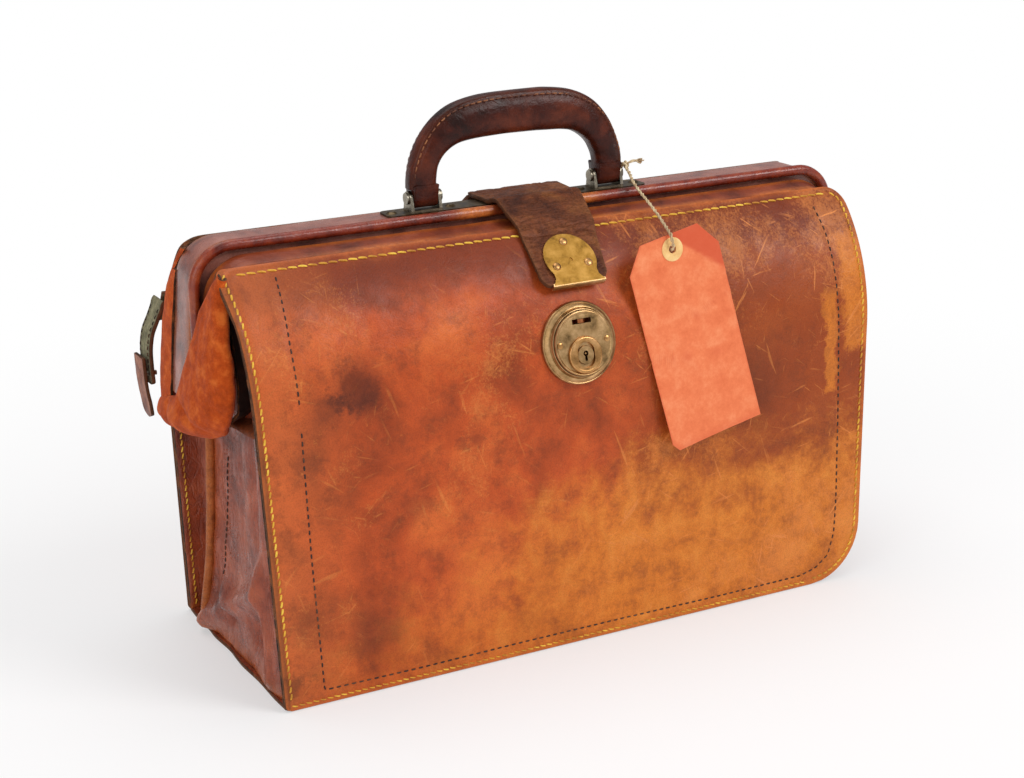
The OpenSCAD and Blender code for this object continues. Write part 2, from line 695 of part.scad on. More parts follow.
// The holes that the lock's parts need in the leather, wider by extra
module lock_cutouts(extra) {
    translate([0, plug_y, -30]) cylinder(r = plug_r + extra, h = 60);
    translate([-slot_w / 2 - extra, slot_y - slot_h / 2 - extra, -30])
        cube([slot_w + 2 * extra, slot_h + 2 * extra, 60]);
    stud_places() translate([0, 0, -30]) cylinder(r = 1.6 + extra, h = 60);
}
module lock_ring() {
    color("#8f7a48") on_lock() difference() {
        rotate_extrude() polygon([[0, -lock_sink], [ring_r, -lock_sink], [ring_r, 1.5], [ring_r - 1, 3.8],
            [ring_r - 3, face_h - 0.6], [face_r + seam, face_h], [face_r - 1.5, face_h], [face_r - 1.5, face_h - 1.5],
            [face_r, face_h - 1.5], [ring_r - 3.4, 3], [ring_r - 2.6, 0], [0, 0]]);
        lock_cutouts(0.06);
        face_rivet_places() cylinder(r = 1.2, h = 20, center = true);
    }
}
module lock_face() {
    color("#a08350") on_lock() difference() {
        union() {
            translate([0, 0, face_h]) cylinder(r = face_r, h = 1);
            translate([0, 0, face_h]) difference() {
                cylinder(r = face_r, h = 1.5);
                translate([0, 0, -1]) cylinder(r = face_r - 1.2, h = 4);
            }
        }
        translate([0, plug_y, 0]) cylinder(r = plug_r + 0.06, h = 30);
        translate([-slot_w / 2, slot_y - slot_h / 2, 0]) cube([slot_w, slot_h, 30]);
        face_rivet_places() cylinder(r = 1.2, h = 30);
    }
}
module lock_face_rivets() {
    color("#b09262") on_lock() face_rivet_places() {
        translate([0, 0, -lock_sink]) cylinder(r = 1.2, h = face_h + 1 + lock_sink);
        translate([0, 0, face_h + 1]) cylinder(r1 = 1.9, r2 = 1.2, h = 0.6);
    }
}
module lock_collar() {
    color("#c09a5c") on_lock() translate([0, plug_y, face_h + 1]) difference() {
        cylinder(r = collar_r, h = 2);
        for (y = [-2.2, 2.2]) translate([0, y, -1]) cylinder(r = plug_r + 0.1, h = 5);
        translate([-plug_r - 0.1, -2.2, -1]) cube([2 * plug_r + 0.2, 4.4, 5]);
    }
}
module lock_plug() {
    top = face_h + 2.2;
    color("#6f6a55") on_lock() translate([0, plug_y, 0]) difference() {
        translate([0, 0, case_front - 4]) cylinder(r = plug_r, h = top - case_front + 4);
        translate([0, 1, top - 9]) cylinder(r = 1.6, h = 10);
        translate([-0.8, -3.6, top - 9]) cube([1.6, 4.6, 10]);
    }
}
module lock_studs() {
    color("#8d8a80") on_lock() stud_places() translate([0, 0, case_front - 2]) cylinder(r = 1.6, h = 2 - case_front);
}
module lock_case() {
    color("#77736a") on_lock() difference() {
        translate([-case_half_w, case_low, case_back])
            cube([2 * case_half_w, case_high - case_low, case_front - case_back]);
        translate([0, plug_y, case_front - 4.3]) cylinder(r = plug_r + 0.3, h = 20);
        stud_places() translate([0, 0, case_front - 2]) cylinder(r = 1.6, h = 20);
        translate([-slot_w / 2 - 0.5, slot_y - slot_h / 2 - 0.5, case_back + 1.5]) cube([slot_w + 1, slot_h + 1, 30]);
        translate([-bolt_l / 2 - 0.4, slot_y - 2.5, bolt_z - 0.3]) cube([bolt_l + bolt_travel + 0.8, 5, 3.8]);
    }
}
bolt_l = 20;
bolt_z = -12.6;
module lock_bolt() {
    color("#b87348") on_lock() {
        translate([-bolt_l / 2, slot_y - 2.1, bolt_z]) cube([bolt_l, 4.2, 3.2]);
        translate([-2, slot_y - 1.2, bolt_z + 1]) cube([4, 2.4, face_h - 0.4 - bolt_z - 1]);
    }
}

// The short pull strap behind the left end: a sewn root, a bowed strap and a riveted end tab
pull_y = 64;
pull_x = case_top_w / 2 + 1;
pull_h = 215;
pull_line = [[-pull_x - gap, pull_h + 2], [-pull_x - 0.8, pull_h - 1], [-222.5, 207.5], [-226.3, 199],
             [-228, 190], [-228.1, 180], [-227.5, 167]];
tab_line = [[-230.3, 185], [-229.6, 168], [-228, 156], [-226.5, 146]];
module across_pull(half) { along_y(pull_y - half, pull_y + half) children(); }
// It is sewn to a patch at the left edge of the back panel
module pull_anchor() {
    color("#5d5a44") intersection() {
        sheet(back_shell, 1, 0, back_shell[4], -seam, -seam - pull_t, pull_x);
        translate([-pull_x, 0, pull_h - 12]) cube([30, far, 20]);
    }
}
module pull_strap() {
    color("#8a8468") difference() {
        across_pull(pull_w / 2) polygon(ribbon(pull_line, -pull_t));
        pull_rivet_places() cylinder(r = 1.5, h = 40, center = true);
    }
}
module pull_tab() {
    half = pull_w / 2 - 1;
    edge = round_loop([[pull_y - half, 190], [pull_y - half, 143], [pull_y + half, 143], [pull_y + half, 190]],
                      [2, 6, 6, 2]);
    color("#b07a62") difference() {
        intersection() {
            across_pull(half) translate([-pull_t - seam, 0]) polygon(ribbon(tab_line, -2.2));
            along_x(-far / 2, 0) polygon(edge);
        }
        pull_rivet_places() cylinder(r = 1.5, h = 40, center = true);
    }
}
module pull_rivet_places() {
    for (y = [pull_y - 4, pull_y + 4]) translate([-pull_x - 12, y, 174]) rotate([0, -90, 0]) children();
}
module pull_rivets() {
    color("#8b7a58") pull_rivet_places() cylinder(r = 1.5, h = 9, center = true);
}

// The luggage tag hangs in front of the panel, clear of its bulge, and leans a little
tag_lean = 7;
tag_turn = 12;
tag_clear = 1;
tag_x = 65.3;
tag_h = 242.3;
touch = arc_point(front_shell, tag_lean, -tag_clear);
tag_y = -touch[0] + (tag_h - touch[1]) * tan(tag_lean);
module on_tag() {
    translate([tag_x, tag_y, tag_h]) rotate([-tag_lean, 0, 0]) rotate([0, -tag_turn, 0]) children();
}
hole_down = 9.5;
module tag_card() {
    half = tag_w / 2;
    cut = 12;
    edge = [[-half, hole_down - tag_l], [half, hole_down - tag_l], [half, hole_down - cut - 4],
            [half - cut, hole_down], [cut - half, hole_down], [-half, hole_down - cut - 4]];
    color("#f0835a") on_tag() difference() {
        along_y(-tag_t, 0) polygon(edge);
        rotate([90, 0, 0]) cylinder(r = tag_hole_r, h = 10, center = true);
    }
}
module tag_eyelet() {
    color("#f2c88c") on_tag() for (y = [0.4 + seam / 2, -tag_t - seam / 2]) translate([0, y, 0]) rotate([90, 0, 0])
        difference() {
            cylinder(r = tag_ring_r, h = 0.4);
            translate([0, 0, -1]) cylinder(r = tag_hole_r, h = 3);
        }
}

// The string's route: round the right-hand pin, over the frame and the card's top edge, and into the hole
string_route = [[74.5, 2.6, 272.7], [74.5, 4.7, 275], [74.5, 5.2, 277.6], [74.5, 4.4, 280], [74.5, 2, 282],
                [74.5, -1, 282.4], [74.2, -4, 281.2], [73.4, -9, 279.2], [72.6, -12.5, 277.8],
                [70.2, -20, 274.8], [68.6, -30, 270.8], [67.8, -42, 266], [66.6, -54, 261.3],
                [65, -65, 256.9], [63.4, -74, 253.4], [63.3, -75.4, 252.5], [63.3, -76.4, 251.5],
                [63.3, -77, 250.3], [63.5, -77.3, 248.5], [63.9, -77.3, 247], [64.4, -77, 245.2],
                [64.8, -76.1, 243.7], [65.1, -75.1, 242.8], [65.3, -74.3, 242.3], [65.3, -72.9, 241.7]];
string_sides = 8;
function at_ring(p, i) =
    let (a = unit(p[max(i, 1)] - p[max(i, 1) - 1]), m = min(i, len(p) - 2), b = unit(p[m + 1] - p[m]),
         d = unit(a + b), u = unit(cross(d, [1, 0, 0])), v = cross(d, u))
    [for (k = [0:string_sides - 1]) let (w = 360 * k / string_sides) p[i] + string_r * (cos(w) * u + sin(w) * v)];
module tag_string() {
    rings = len(string_route);
    n = string_sides;
    points = [for (i = [0:rings - 1]) each at_ring(string_route, i)];
    walls = [for (i = [0:rings - 2], k = [0:n - 1]) each
        [[i * n + k, i * n + (k + 1) % n, (i + 1) * n + (k + 1) % n],
         [i * n + k, (i + 1) * n + (k + 1) % n, (i + 1) * n + k]]];
    ends = [[for (k = [n - 1:-1:0]) k], [for (k = [0:n - 1]) (rings - 1) * n + k]];
    color("#dcc39a") polyhedron(points, concat(walls, ends));
}

back_panel();
bottom_panel();
bottom_board();
gusset_left();
gusset_right();
gusset_welt_left();
gusset_welt_right();
ear_left();
ear_right();
center_divider();
lining_front();
lining_back();
rear_jaw_frame();
rear_jaw_cover();
hinge_pins();
front_panel();
front_panel_upper();
front_jaw_frame();
front_jaw_cover();
handle_plate();
handle_rivets();
handle_brackets();
handle_pins();
handle_core();
handle_grip();
strap_anchor();
strap();
hasp_plate();
hasp_rivets();
hasp_staple();
lock_ring();
lock_face();
lock_face_rivets();
lock_collar();
lock_plug();
lock_studs();
lock_case();
lock_bolt();
pull_anchor();
pull_strap();
pull_tab();
pull_rivets();
tag_string();
tag_card();
tag_eyelet();
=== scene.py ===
from functools import partial
from math import acos, asin, atan2, ceil, cos, exp, hypot, pi, radians, sin, sqrt, tan
import bpy
import bmesh
from mathutils import Matrix, Vector, noise


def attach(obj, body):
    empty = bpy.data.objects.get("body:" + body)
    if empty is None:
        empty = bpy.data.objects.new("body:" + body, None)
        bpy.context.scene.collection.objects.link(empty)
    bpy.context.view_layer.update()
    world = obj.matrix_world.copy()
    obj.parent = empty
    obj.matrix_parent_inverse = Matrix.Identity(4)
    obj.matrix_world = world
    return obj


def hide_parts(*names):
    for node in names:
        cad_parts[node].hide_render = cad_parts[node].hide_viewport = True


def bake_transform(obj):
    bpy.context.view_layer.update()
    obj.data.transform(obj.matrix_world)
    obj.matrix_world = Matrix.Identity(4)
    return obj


# Old leather briefcase. Lengths in this script are in millimetres until a mesh or a lamp is made.
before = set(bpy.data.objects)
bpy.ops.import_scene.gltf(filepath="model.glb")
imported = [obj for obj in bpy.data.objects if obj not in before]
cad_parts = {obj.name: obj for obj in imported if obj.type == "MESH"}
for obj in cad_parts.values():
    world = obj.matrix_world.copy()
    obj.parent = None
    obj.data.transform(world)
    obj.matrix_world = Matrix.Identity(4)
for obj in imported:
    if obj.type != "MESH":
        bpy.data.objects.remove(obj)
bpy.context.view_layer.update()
scene = bpy.context.scene
print("frame loaded with", len(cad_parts), "nodes")


def mix(a, b, t):
    return a + (b - a) * t


def smooth(low, high, value):
    t = min(max((value - low) / (high - low), 0.0), 1.0)
    return t * t * (3 - 2 * t)


def hump(distance, width):
    return exp(-(distance / width) ** 2)


def ripple(x, y, size, seed=0.0):
    # soft unevenness from -1 to 1, with bumps about size across
    return noise.noise(Vector((x / size + seed, y / size - seed, seed * 1.7)))


def fromLine(px, py, ax, ay, bx, by):
    # distance of a point from a line piece
    dx, dy = bx - ax, by - ay
    t = min(max(((px - ax) * dx + (py - ay) * dy) / (dx * dx + dy * dy), 0.0), 1.0)
    return hypot(px - ax - t * dx, py - ay - t * dy)


def along(table, value):
    # value read from a table of pairs, straight between them
    for (a, va), (b, vb) in zip(table, table[1:]):
        if value <= b:
            return mix(va, vb, min(max((value - a) / (b - a), 0.0), 1.0))
    return table[-1][1]


def curveThrough(points, steps):
    # a smooth line through chosen points
    line = []
    for i in range(len(points) - 1):
        a, b = points[max(i - 1, 0)], points[i]
        c, d = points[i + 1], points[min(i + 2, len(points) - 1)]
        for k in range(steps):
            t = k / steps
            line.append(tuple(
                0.5 * (2 * q + (r - p) * t + (2 * p - 5 * q + 4 * r - s) * t * t + (3 * q - p - 3 * r + s) * t ** 3)
                for p, q, r, s in zip(a, b, c, d)))
    return line + [tuple(points[-1])]


def spaced(points, count):
    # the same line with count points at even distances
    line = [Vector(p) for p in points]
    marks = [0.0]
    for a, b in zip(line, line[1:]):
        marks.append(marks[-1] + (b - a).length)
    out, k = [], 0
    for i in range(count):
        want = marks[-1] * i / (count - 1)
        while k < len(line) - 2 and marks[k + 1] < want:
            k += 1
        out.append(line[k].lerp(line[k + 1], (want - marks[k]) / max(marks[k + 1] - marks[k], 1e-9)))
    return out


def roundedCorner(a, p, b, radius, steps=10):
    # arc that rounds corner p between its neighbours, all in a plane
    a, p, b = Vector(a), Vector(p), Vector(b)
    u, v = (a - p).normalized(), (b - p).normalized()
    inside = acos(max(-1.0, min(1.0, u.dot(v))))
    centre = p + (u + v).normalized() * radius / sin(inside / 2)
    first = p + u * radius / tan(inside / 2) - centre
    turn = (pi - inside) * (1 if (p - a).cross(b - p) > 0 else -1)
    start = atan2(first.y, first.x)
    return [(centre.x + radius * cos(start + turn * i / steps), centre.y + radius * sin(start + turn * i / steps))
            for i in range(steps + 1)]


class Shape:
    # gathers points and faces in millimetres; kind says which finish a face takes
    def __init__(self):
        self.points, self.faces, self.kinds, self.wear = [], [], [], []

    def put(self, rows):
        first = len(self.points)
        for row in rows:
            for p in row:
                self.points.append(tuple(p[:3]))
                self.wear.append(p[3] if len(p) > 3 else 0.0)
        return first

    def face(self, corners, kind):
        self.faces.append(corners)
        self.kinds.append(kind)

    def grid(self, rows, kind=0, roundRows=False, roundCols=False):
        first, n, m = self.put(rows), len(rows), len(rows[0])
        for i in range(n if roundRows else n - 1):
            for j in range(m if roundCols else m - 1):
                a, b = first + i * m, first + (i + 1) % n * m
                self.face((a + j, a + (j + 1) % m, b + (j + 1) % m, b + j), kind)
        return first

    def tube(self, rows, kind=0):
        first, m = self.grid(rows, kind, roundCols=True), len(rows[0])
        last = first + (len(rows) - 1) * m
        self.face(tuple(first + k for k in range(m - 1, -1, -1)), kind)
        self.face(tuple(last + k for k in range(m)), kind)
        return self

    def sheet(self, rows, thickness, side=1, rim=((0.3, 0.3), (0.3, 0.7))):
        # a closed sheet: the rows are its outer face, and rim gives how far the edge stands out at which depth
        n, m = len(rows), len(rows[0])
        grid = [[Vector(p[:3]) for p in row] for row in rows]
        normals = []
        for i in range(n):
            for j in range(m):
                across = grid[i][min(j + 1, m - 1)] - grid[i][max(j - 1, 0)]
                up = grid[min(i + 1, n - 1)][j] - grid[max(i - 1, 0)][j]
                normals.append(across.cross(up).normalized() * side)
        first = self.grid(rows)
        back = self.grid([[grid[i][j] - normals[i * m + j] * thickness for j in range(m)] for i in range(n)])
        loop = ([(0, j) for j in range(m)] + [(i, m - 1) for i in range(1, n)]
                + [(n - 1, j) for j in range(m - 2, -1, -1)] + [(i, 0) for i in range(n - 2, 0, -1)])
        rings = [[first + i * m + j for i, j in loop]]
        for out, depth in rim:
            ring = []
            for i, j in loop:
                p, k = grid[i][j], normals[i * m + j]
                o = p - grid[min(max(i, 1), n - 2)][min(max(j, 1), m - 2)]
                o = (o - k * o.dot(k)).normalized()
                worn = rows[i][j][3] if len(rows[i][j]) > 3 else 0.0
                ring.append((*(p - k * thickness * depth + o * out), worn))
            start = self.put([ring])
            rings.append([start + k for k in range(len(loop))])
        rings.append([back + i * m + j for i, j in loop])
        for a, b in zip(rings, rings[1:]):
            for k in range(len(loop)):
                after = (k + 1) % len(loop)
                self.face((a[k], a[after], b[after], b[k]), 1)
        return self

    def plate(self, outline, low, high, toWorld, bevel):
        # a flat shape with softened edges, given by its outline in its own plane
        count = len(outline)
        middle = Vector((sum(p[0] for p in outline) / count, sum(p[1] for p in outline) / count))
        rows = []
        for height, inset in ((low, 0.0), (high - bevel, 0.0), (high - bevel * 0.3, bevel * 0.3), (high, bevel)):
            row = []
            for i in range(count):
                a, p, b = outline[i - 1], Vector(outline[i][:2]), outline[(i + 1) % count]
                t = Vector((b[0] - a[0], b[1] - a[1])).normalized()
                inward = Vector((-t.y, t.x))
                if inward.dot(middle - p) < 0 and count < 8:
                    inward = -inward
                q = p + inward * inset
                row.append(toWorld @ Vector((q.x, q.y, height)))
            rows.append(row)
        return self.tube(rows)

    def lathe(self, profile, toWorld, steps):
        # a turned shape: profile is a list of radius and height
        turns = [2 * pi * k / steps for k in range(steps)]
        return self.tube([[toWorld @ Vector((radius * cos(a), radius * sin(a), height)) for a in turns]
                          for radius, height in profile])

    def piece(self, name, materials=(), sharp=38):
        mesh = bpy.data.meshes.new(name)
        mesh.from_pydata([[c * 0.001 for c in p] for p in self.points], [], self.faces)
        mesh.attributes.new("wear", "FLOAT", "POINT").data.foreach_set("value", self.wear)
        for material in materials:
            mesh.materials.append(material)
        mesh.polygons.foreach_set("material_index", [min(k, len(materials) - 1) for k in self.kinds])
        edit = bmesh.new()
        edit.from_mesh(mesh)
        bmesh.ops.remove_doubles(edit, verts=edit.verts, dist=1e-6)
        bmesh.ops.recalc_face_normals(edit, faces=edit.faces)
        edit.to_mesh(mesh)
        edit.free()
        mesh.polygons.foreach_set("use_smooth", [True] * len(mesh.polygons))
        mesh.set_sharp_from_angle(angle=radians(sharp))
        made = bpy.data.objects.new(name, mesh)
        scene.collection.objects.link(made)
        return made

    def settle(self, name, finishNames, slotName, rides, *stands, sharp=38, holes=()):
        # the finished piece: holes cut in it, fixed to its body, or left where it stands when a fold between two is
        # given, and the solids it stands for hidden; slotName is not used
        made = self.piece(name, [finishes[key] for key in finishNames.split()], sharp)
        for hole in holes:
            tool = hole.piece("holeTool")
            cut = made.modifiers.new("hole", "BOOLEAN")
            cut.object, cut.operation, cut.solver = tool, "DIFFERENCE", "EXACT"
            mesh = bpy.data.meshes.new_from_object(made.evaluated_get(bpy.context.evaluated_depsgraph_get()))
            made.modifiers.remove(cut)
            made.data = mesh
            bpy.data.objects.remove(tool)
        if holes:
            made.data.set_sharp_from_angle(angle=radians(38))
        if isinstance(rides, tuple):
            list(rides)
            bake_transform(made)
        else:
            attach(made, rides)
        if stands:
            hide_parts(*stands)
        return made


# the camera that was fitted to the photograph
view = {"azimuth": -27.75, "elevation": 17.7, "roll": -1.0, "distance": 1289.2, "target": (-8.66, 0.0, 143.7),
        "lens": 70.14}


def setCamera():
    a, e, r = (radians(view[k]) for k in ("azimuth", "elevation", "roll"))
    back = Vector((sin(a) * cos(e), -cos(a) * cos(e), sin(e)))
    level = (-back).cross(Vector((0, 0, 1))).normalized()
    top = level.cross(-back)
    right = level * cos(r) + top * sin(r)
    up = top * cos(r) - level * sin(r)
    camera = bpy.data.objects.new("camera", bpy.data.cameras.new("camera"))
    camera.data.lens = view["lens"]
    camera.data.sensor_width = 36
    camera.data.clip_end = 20
    turn = Matrix((right, up, back)).transposed().to_4x4()
    camera.matrix_world = Matrix.Translation((Vector(view["target"]) + back * view["distance"]) * 0.001) @ turn
    scene.collection.objects.link(camera)
    scene.camera = camera


setCamera()
print("camera set")


def linear(hexColour):
    parts = [int(hexColour[i:i + 2], 16) / 255 for i in (1, 3, 5)]
    return [c / 12.92 if c <= 0.04045 else ((c + 0.055) / 1.055) ** 2.4 for c in parts] + [1.0]


# the property that the word after the dot in a node's kind sets
nodeModes = {"Math": "operation", "VectorMath": "operation", "MapRange": "interpolation_type", "Mix": "blend_type",
             "TexVoronoi": "feature", "TexWave": "bands_direction", "Attribute": "attribute_name"}


def addNode(tree, kind, *values, **named):
    # one node: values go to its first inputs, and named ones to inputs or properties. Each is a number, a hex
    # colour, a ramp's stops, or the node or socket that feeds it. A range is value, from low, high, to low, high.
    kind, dot, mode = kind.partition(".")
    node = tree.nodes.new("ShaderNode" + kind)
    if mode:
        setattr(node, nodeModes[kind], mode)
    for key, value in [*named.items(), *enumerate(values)]:
        if isinstance(value, bpy.types.Node):
            value = value.outputs[0]
        if isinstance(value, bpy.types.NodeSocket):
            tree.links.new(value, node.inputs[key])
        elif key == "stops":
            band = node.color_ramp
            band.elements.remove(band.elements[1])
            for i, (place, shade) in enumerate(value):
                stop = band.elements[0] if i == 0 else band.elements.new(place)
                stop.position = place
                stop.color = linear(shade) if isinstance(shade, str) else [shade, shade, shade, 1.0]
        elif isinstance(key, int) or key in node.inputs:
            if value is not None:
                node.inputs[key].default_value = linear(value) if isinstance(value, str) else value
        else:
            setattr(node, key, value)
    return node


def startNodes(owner):
    # empties the nodes of a material or a world, and gives what adds one to them
    owner.use_nodes = True
    owner.node_tree.nodes.clear()
    return partial(addNode, owner.node_tree)


def clouded(name, look, detail, roughness, stops, distortion=0.0):
    # a new finish whose colour drifts through the look's three shades, in clouds of their real size
    add = startNodes(bpy.data.materials.new(name))
    place = add("TexCoord").outputs["Object"]
    cloud = add("TexNoise", place, Scale=1000 / look["cloud"], Detail=detail, Roughness=roughness,
                Distortion=distortion)
    shade = add("ValToRGB", cloud, stops=[*zip(stops, look["shades"].split())]).outputs[0]
    return add, place, cloud, shade


def laidOver(add, shade, layers, blend="MIX"):
    # colours laid over one another, each as far as its amount says
    for above, amount in layers:
        shade = add("Mix." + blend, amount, *[None] * 5, shade, above, data_type="RGBA").outputs[2]
    return shade


def closeFinish(name, add, settings):
    add("OutputMaterial", add("BsdfPrincipled", **settings))
    return bpy.data.materials[name]


def hideSurface(add, place, look):
    # the grain, pores and creases of a hide: its bumps and how far it shines
    grain = add("TexVoronoi.SMOOTH_F1", place, Scale=1000 / look["grain"])
    fine = add("TexNoise", place, Scale=2200 / look["grain"], Detail=3.0)
    drawn = add("Mapping", place, Scale=look["drawn"])
    fold = add("TexNoise", drawn, Scale=1000 / look["crease"], Detail=5.0, Roughness=0.6, Distortion=0.5)
    lines = add("ValToRGB", fold, stops=((0.4, 1.0), (0.485, 0.4), (0.5, 0.0), (0.515, 0.4), (0.6, 1.0)))
    bump = add("Bump", Strength=look["creaseDepth"], Distance=0.0007, Height=lines)
    for strength, distance, height in ((1.0, 0.0003, grain.outputs["Distance"]), (0.6, 0.0002, fine)):
        bump = add("Bump", Strength=look["grainDepth"] * strength, Distance=distance, Height=height, Normal=bump)
    polish = add("TexNoise", place, Scale=1000 / look["patch"], Detail=6.0, Roughness=0.66)
    rough = add("MapRange", polish, 0.36, 0.64, look["rough"][0], look["rough"][1])
    return bump, rough, lines, grain


plainHide = {"patch": 6, "scuffs": 0.4, "grain": 0.8, "grainDepth": 0.3, "crease": 14, "creaseDepth": 0.2,
             "drawn": (1.0, 1.0, 1.0), "coat": 0.0, "shine": 0.26}


def tannedLeather(name, dressing=None, **own):
    # vegetable-tanned cowhide, waxed and worn: cloudy brown, paler where rubbed and orange where the edge is raw
    look = {**plainHide, **own}
    add, place, cloud, shade = clouded(name, look, 7.0, 0.6, (0.34, 0.5, 0.68), 0.3)
    normal, rough, lines, grain = hideSurface(add, place, look)
    if dressing:
        shade = dressing(add, place, shade)
    rubbed = add("TexNoise", place, Scale=1700 / look["patch"], Detail=10.0, Roughness=0.74)
    scuffed = add("MapRange", rubbed, 0.7 - look["scuffs"] * 0.14, 0.78, 0.0, 0.75)
    broken = add("MapRange", rubbed, 0.36, 0.6, 0.35)
    worn = add("Math.MULTIPLY", add("Attribute.wear").outputs["Fac"], broken, use_clamp=True)
    shade = laidOver(add, shade, ((look["scuff"], scuffed), (look["edge"], worn)))
    # pores and crease lines darkened: partly grime held in them, partly painted shade of their hollows
    pores = add("MapRange", grain.outputs["Distance"], 0.0, 0.5, 0.8, 1.05)
    dark = add("MapRange", lines, 0.0, 1.0, 1.0 - 0.35 * look["creaseDepth"])
    depth = add("Math.MULTIPLY", pores, dark)
    shade = laidOver(add, shade, ((depth, 1.0),), "MULTIPLY")
    return closeFinish(name, add, {"Coat Weight": look["coat"], "Coat Roughness": 0.3, "Base Color": shade,
                                   "Specular IOR Level": look["shine"], "Roughness": rough, "Normal": normal})


def fleshSide(name, **look):
    # the brushed flesh side of the hide: short matt fibres in soft patches, with no shine
    add, place, cloud, shade = clouded(name, look, 8.0, 0.7, (0.32, 0.5, 0.67))
    fibre = add("TexNoise", place, Scale=1000 / look["fibre"], Detail=5.0, Roughness=0.8, Distortion=1.2)
    tips = add("MapRange", fibre, 0.5, 0.8, 0.0, 0.6)
    wear = add("Attribute.wear").outputs["Fac"]
    shade = laidOver(add, shade, ((look["shades"].split()[2], tips), (look["edge"], wear)))
    bump = add("Bump", Strength=look["depth"], Distance=0.0006, Height=fibre)
    return closeFinish(name, add, {"Roughness": 0.88, "Sheen Weight": 0.08, "Sheen Roughness": 0.4,
                                   "Specular IOR Level": 0.12, "Base Color": shade, "Normal": bump})


def agedMetal(name, **look):
    # cast and rolled metal, tarnished darker and lighter in cloudy patches, with fine scratches
    add, place, cloud, shade = clouded(name, look, 8.0, 0.7, (0.3, 0.48, 0.68))
    turned = add("Mapping", place, Rotation=(0.5, 0.3, 0.6), Scale=(1.0, 14.0, 14.0))
    scratch = add("TexNoise", turned, Scale=260.0, Detail=4.0, Roughness=0.7)
    rough = add("MapRange", cloud, 0.3, 0.7, look["rough"][0], look["rough"][1])
    bump = add("Bump", Strength=0.12, Distance=0.0003, Height=scratch)
    return closeFinish(name, add, {"Metallic": 1.0, "Base Color": shade, "Roughness": rough, "Normal": bump})


def waxedThread(name, **look):
    # linen thread, waxed and twisted: fine slanted strands
    add, place, cloud, shade = clouded(name, look, 3.0, 0.5, (0.35, 0.5, 0.62))
    strand = add("TexWave.DIAGONAL", place, Scale=1000 / look["strand"], Distortion=1.0)
    bump = add("Bump", Strength=0.5, Distance=0.0002, Height=strand)
    return closeFinish(name, add, {"Roughness": 0.62, "Base Color": shade, "Normal": bump})


def wovenCloth(name, **look):
    # plain woven lining cotton, soiled with use: crossed threads half a millimetre apart
    add, place, cloud, shade = clouded(name, look, 7.0, 0.65, (0.3, 0.55, 0.75))
    warp, weft = (add("TexWave." + way, place, Scale=330.0).outputs["Fac"] for way in "XZ")
    cross = add("Math.MAXIMUM", warp, weft)
    bump = add("Bump", Strength=0.4, Distance=0.0003, Height=cross)
    return closeFinish(name, add, {"Roughness": 0.9, "Base Color": shade, "Normal": bump})


def paperBoard(name, **look):
    # pressed paper fibres: matt, slightly mottled and crumpled
    add, place, mottle, shade = clouded(name, look, 9.0, 0.75, (0.3, 0.5, 0.7))
    fibre = add("TexNoise", place, Scale=1100.0, Detail=4.0, Roughness=0.8)
    wear = add("Attribute.wear").outputs["Fac"]
    shade = laidOver(add, shade, ((look["edge"], wear),))
    crumple = add("Bump", Strength=0.35, Distance=0.0008, Height=mottle)
    bump = add("Bump", Strength=0.25, Distance=0.0002, Height=fibre, Normal=crumple)
    return closeFinish(name, add, {"Roughness": 0.85, "Base Color": shade, "Normal": bump})


# the front's marks: a darker band at the top, tan rubbed through at the lower right and right edge, stains; its left
# part is lightened in orange as painted light.
# A bare strip is its middle and half its size in X and Z; a stain is X, Z, radius and strength; a scratch is
# its angle, scale, seed and how few of them there are.
frontMarks = {
    "topBand": "#6a270c", "tan": "#cf7524", "tanRubbed": "#e2903a", "brown": "#853b12", "scratch": "#d8813e",
    "patina": "#5a3318", "paintedLeftLight": "#d8743a", "dull": "#743417", "stain": "#2a1612",
    "bareStrips": ((205, 196, 10, 36), (184, 165, 4.5, 32)),
    "stains": ((-150, 190, 20, 0.62), (-172, 178, 15, 0.45), (-118, 110, 11, 0.3), (-205, 12, 14, 0.6),
               (-186, 150, 9, 0.3), (-77, 146, 7, 0.35), (-190, 57, 12, 0.35), (-150, 40, 18, 0.3),
               (-33, 238, 12, 0.25), (120, 150, 30, 0.3)),
    "scratches": ((0.35, 210.0, 0.3, 0.655), (1.25, 250.0, 1.7, 0.66), (-0.75, 230.0, 4.1, 0.655),
                  (0.9, 330.0, 6.2, 0.66), (-1.35, 300.0, 8.8, 0.66), (-0.2, 380.0, 11.3, 0.67))}


def bareTan(add, x, z, shift, uneven):
    # where the hide is rubbed down to its tan: below a ragged line, and in strips beside the right-hand seam
    leftward = add("Math.MINIMUM", x, 0.0)
    border = add("Math.MULTIPLY_ADD", leftward, 0.42, 0.097)
    under = add("Math.SUBTRACT", border, z)
    soft = add("Math.MULTIPLY_ADD", shift, 0.34, under)
    ragged = add("Math.MULTIPLY_ADD", uneven, 1.6, soft)
    low = add("MapRange.SMOOTHSTEP", ragged, -0.042, 0.036)
    less = add("MapRange", x, -0.15, 0.02, 0.2, 0.92)
    bare = add("Math.MULTIPLY", low, less)
    for middleX, middleZ, halfX, halfZ in frontMarks["bareStrips"]:
        reach = []
        for value, middle, half in ((x, middleX, halfX), (z, middleZ, halfZ)):
            moved = add("Math.SUBTRACT", value, middle * 0.001)
            away = add("Math.ABSOLUTE", moved)
            reach.append(add("Math.SUBTRACT", away, half * 0.001))
        out = add("Math.MAXIMUM", reach[0], reach[1])
        torn = add("Math.ADD", out, uneven)
        strip = add("MapRange", torn, 0.002, -0.002, 0.0, 0.85)
        bare = add("Math.MAXIMUM", bare, strip)
    return bare


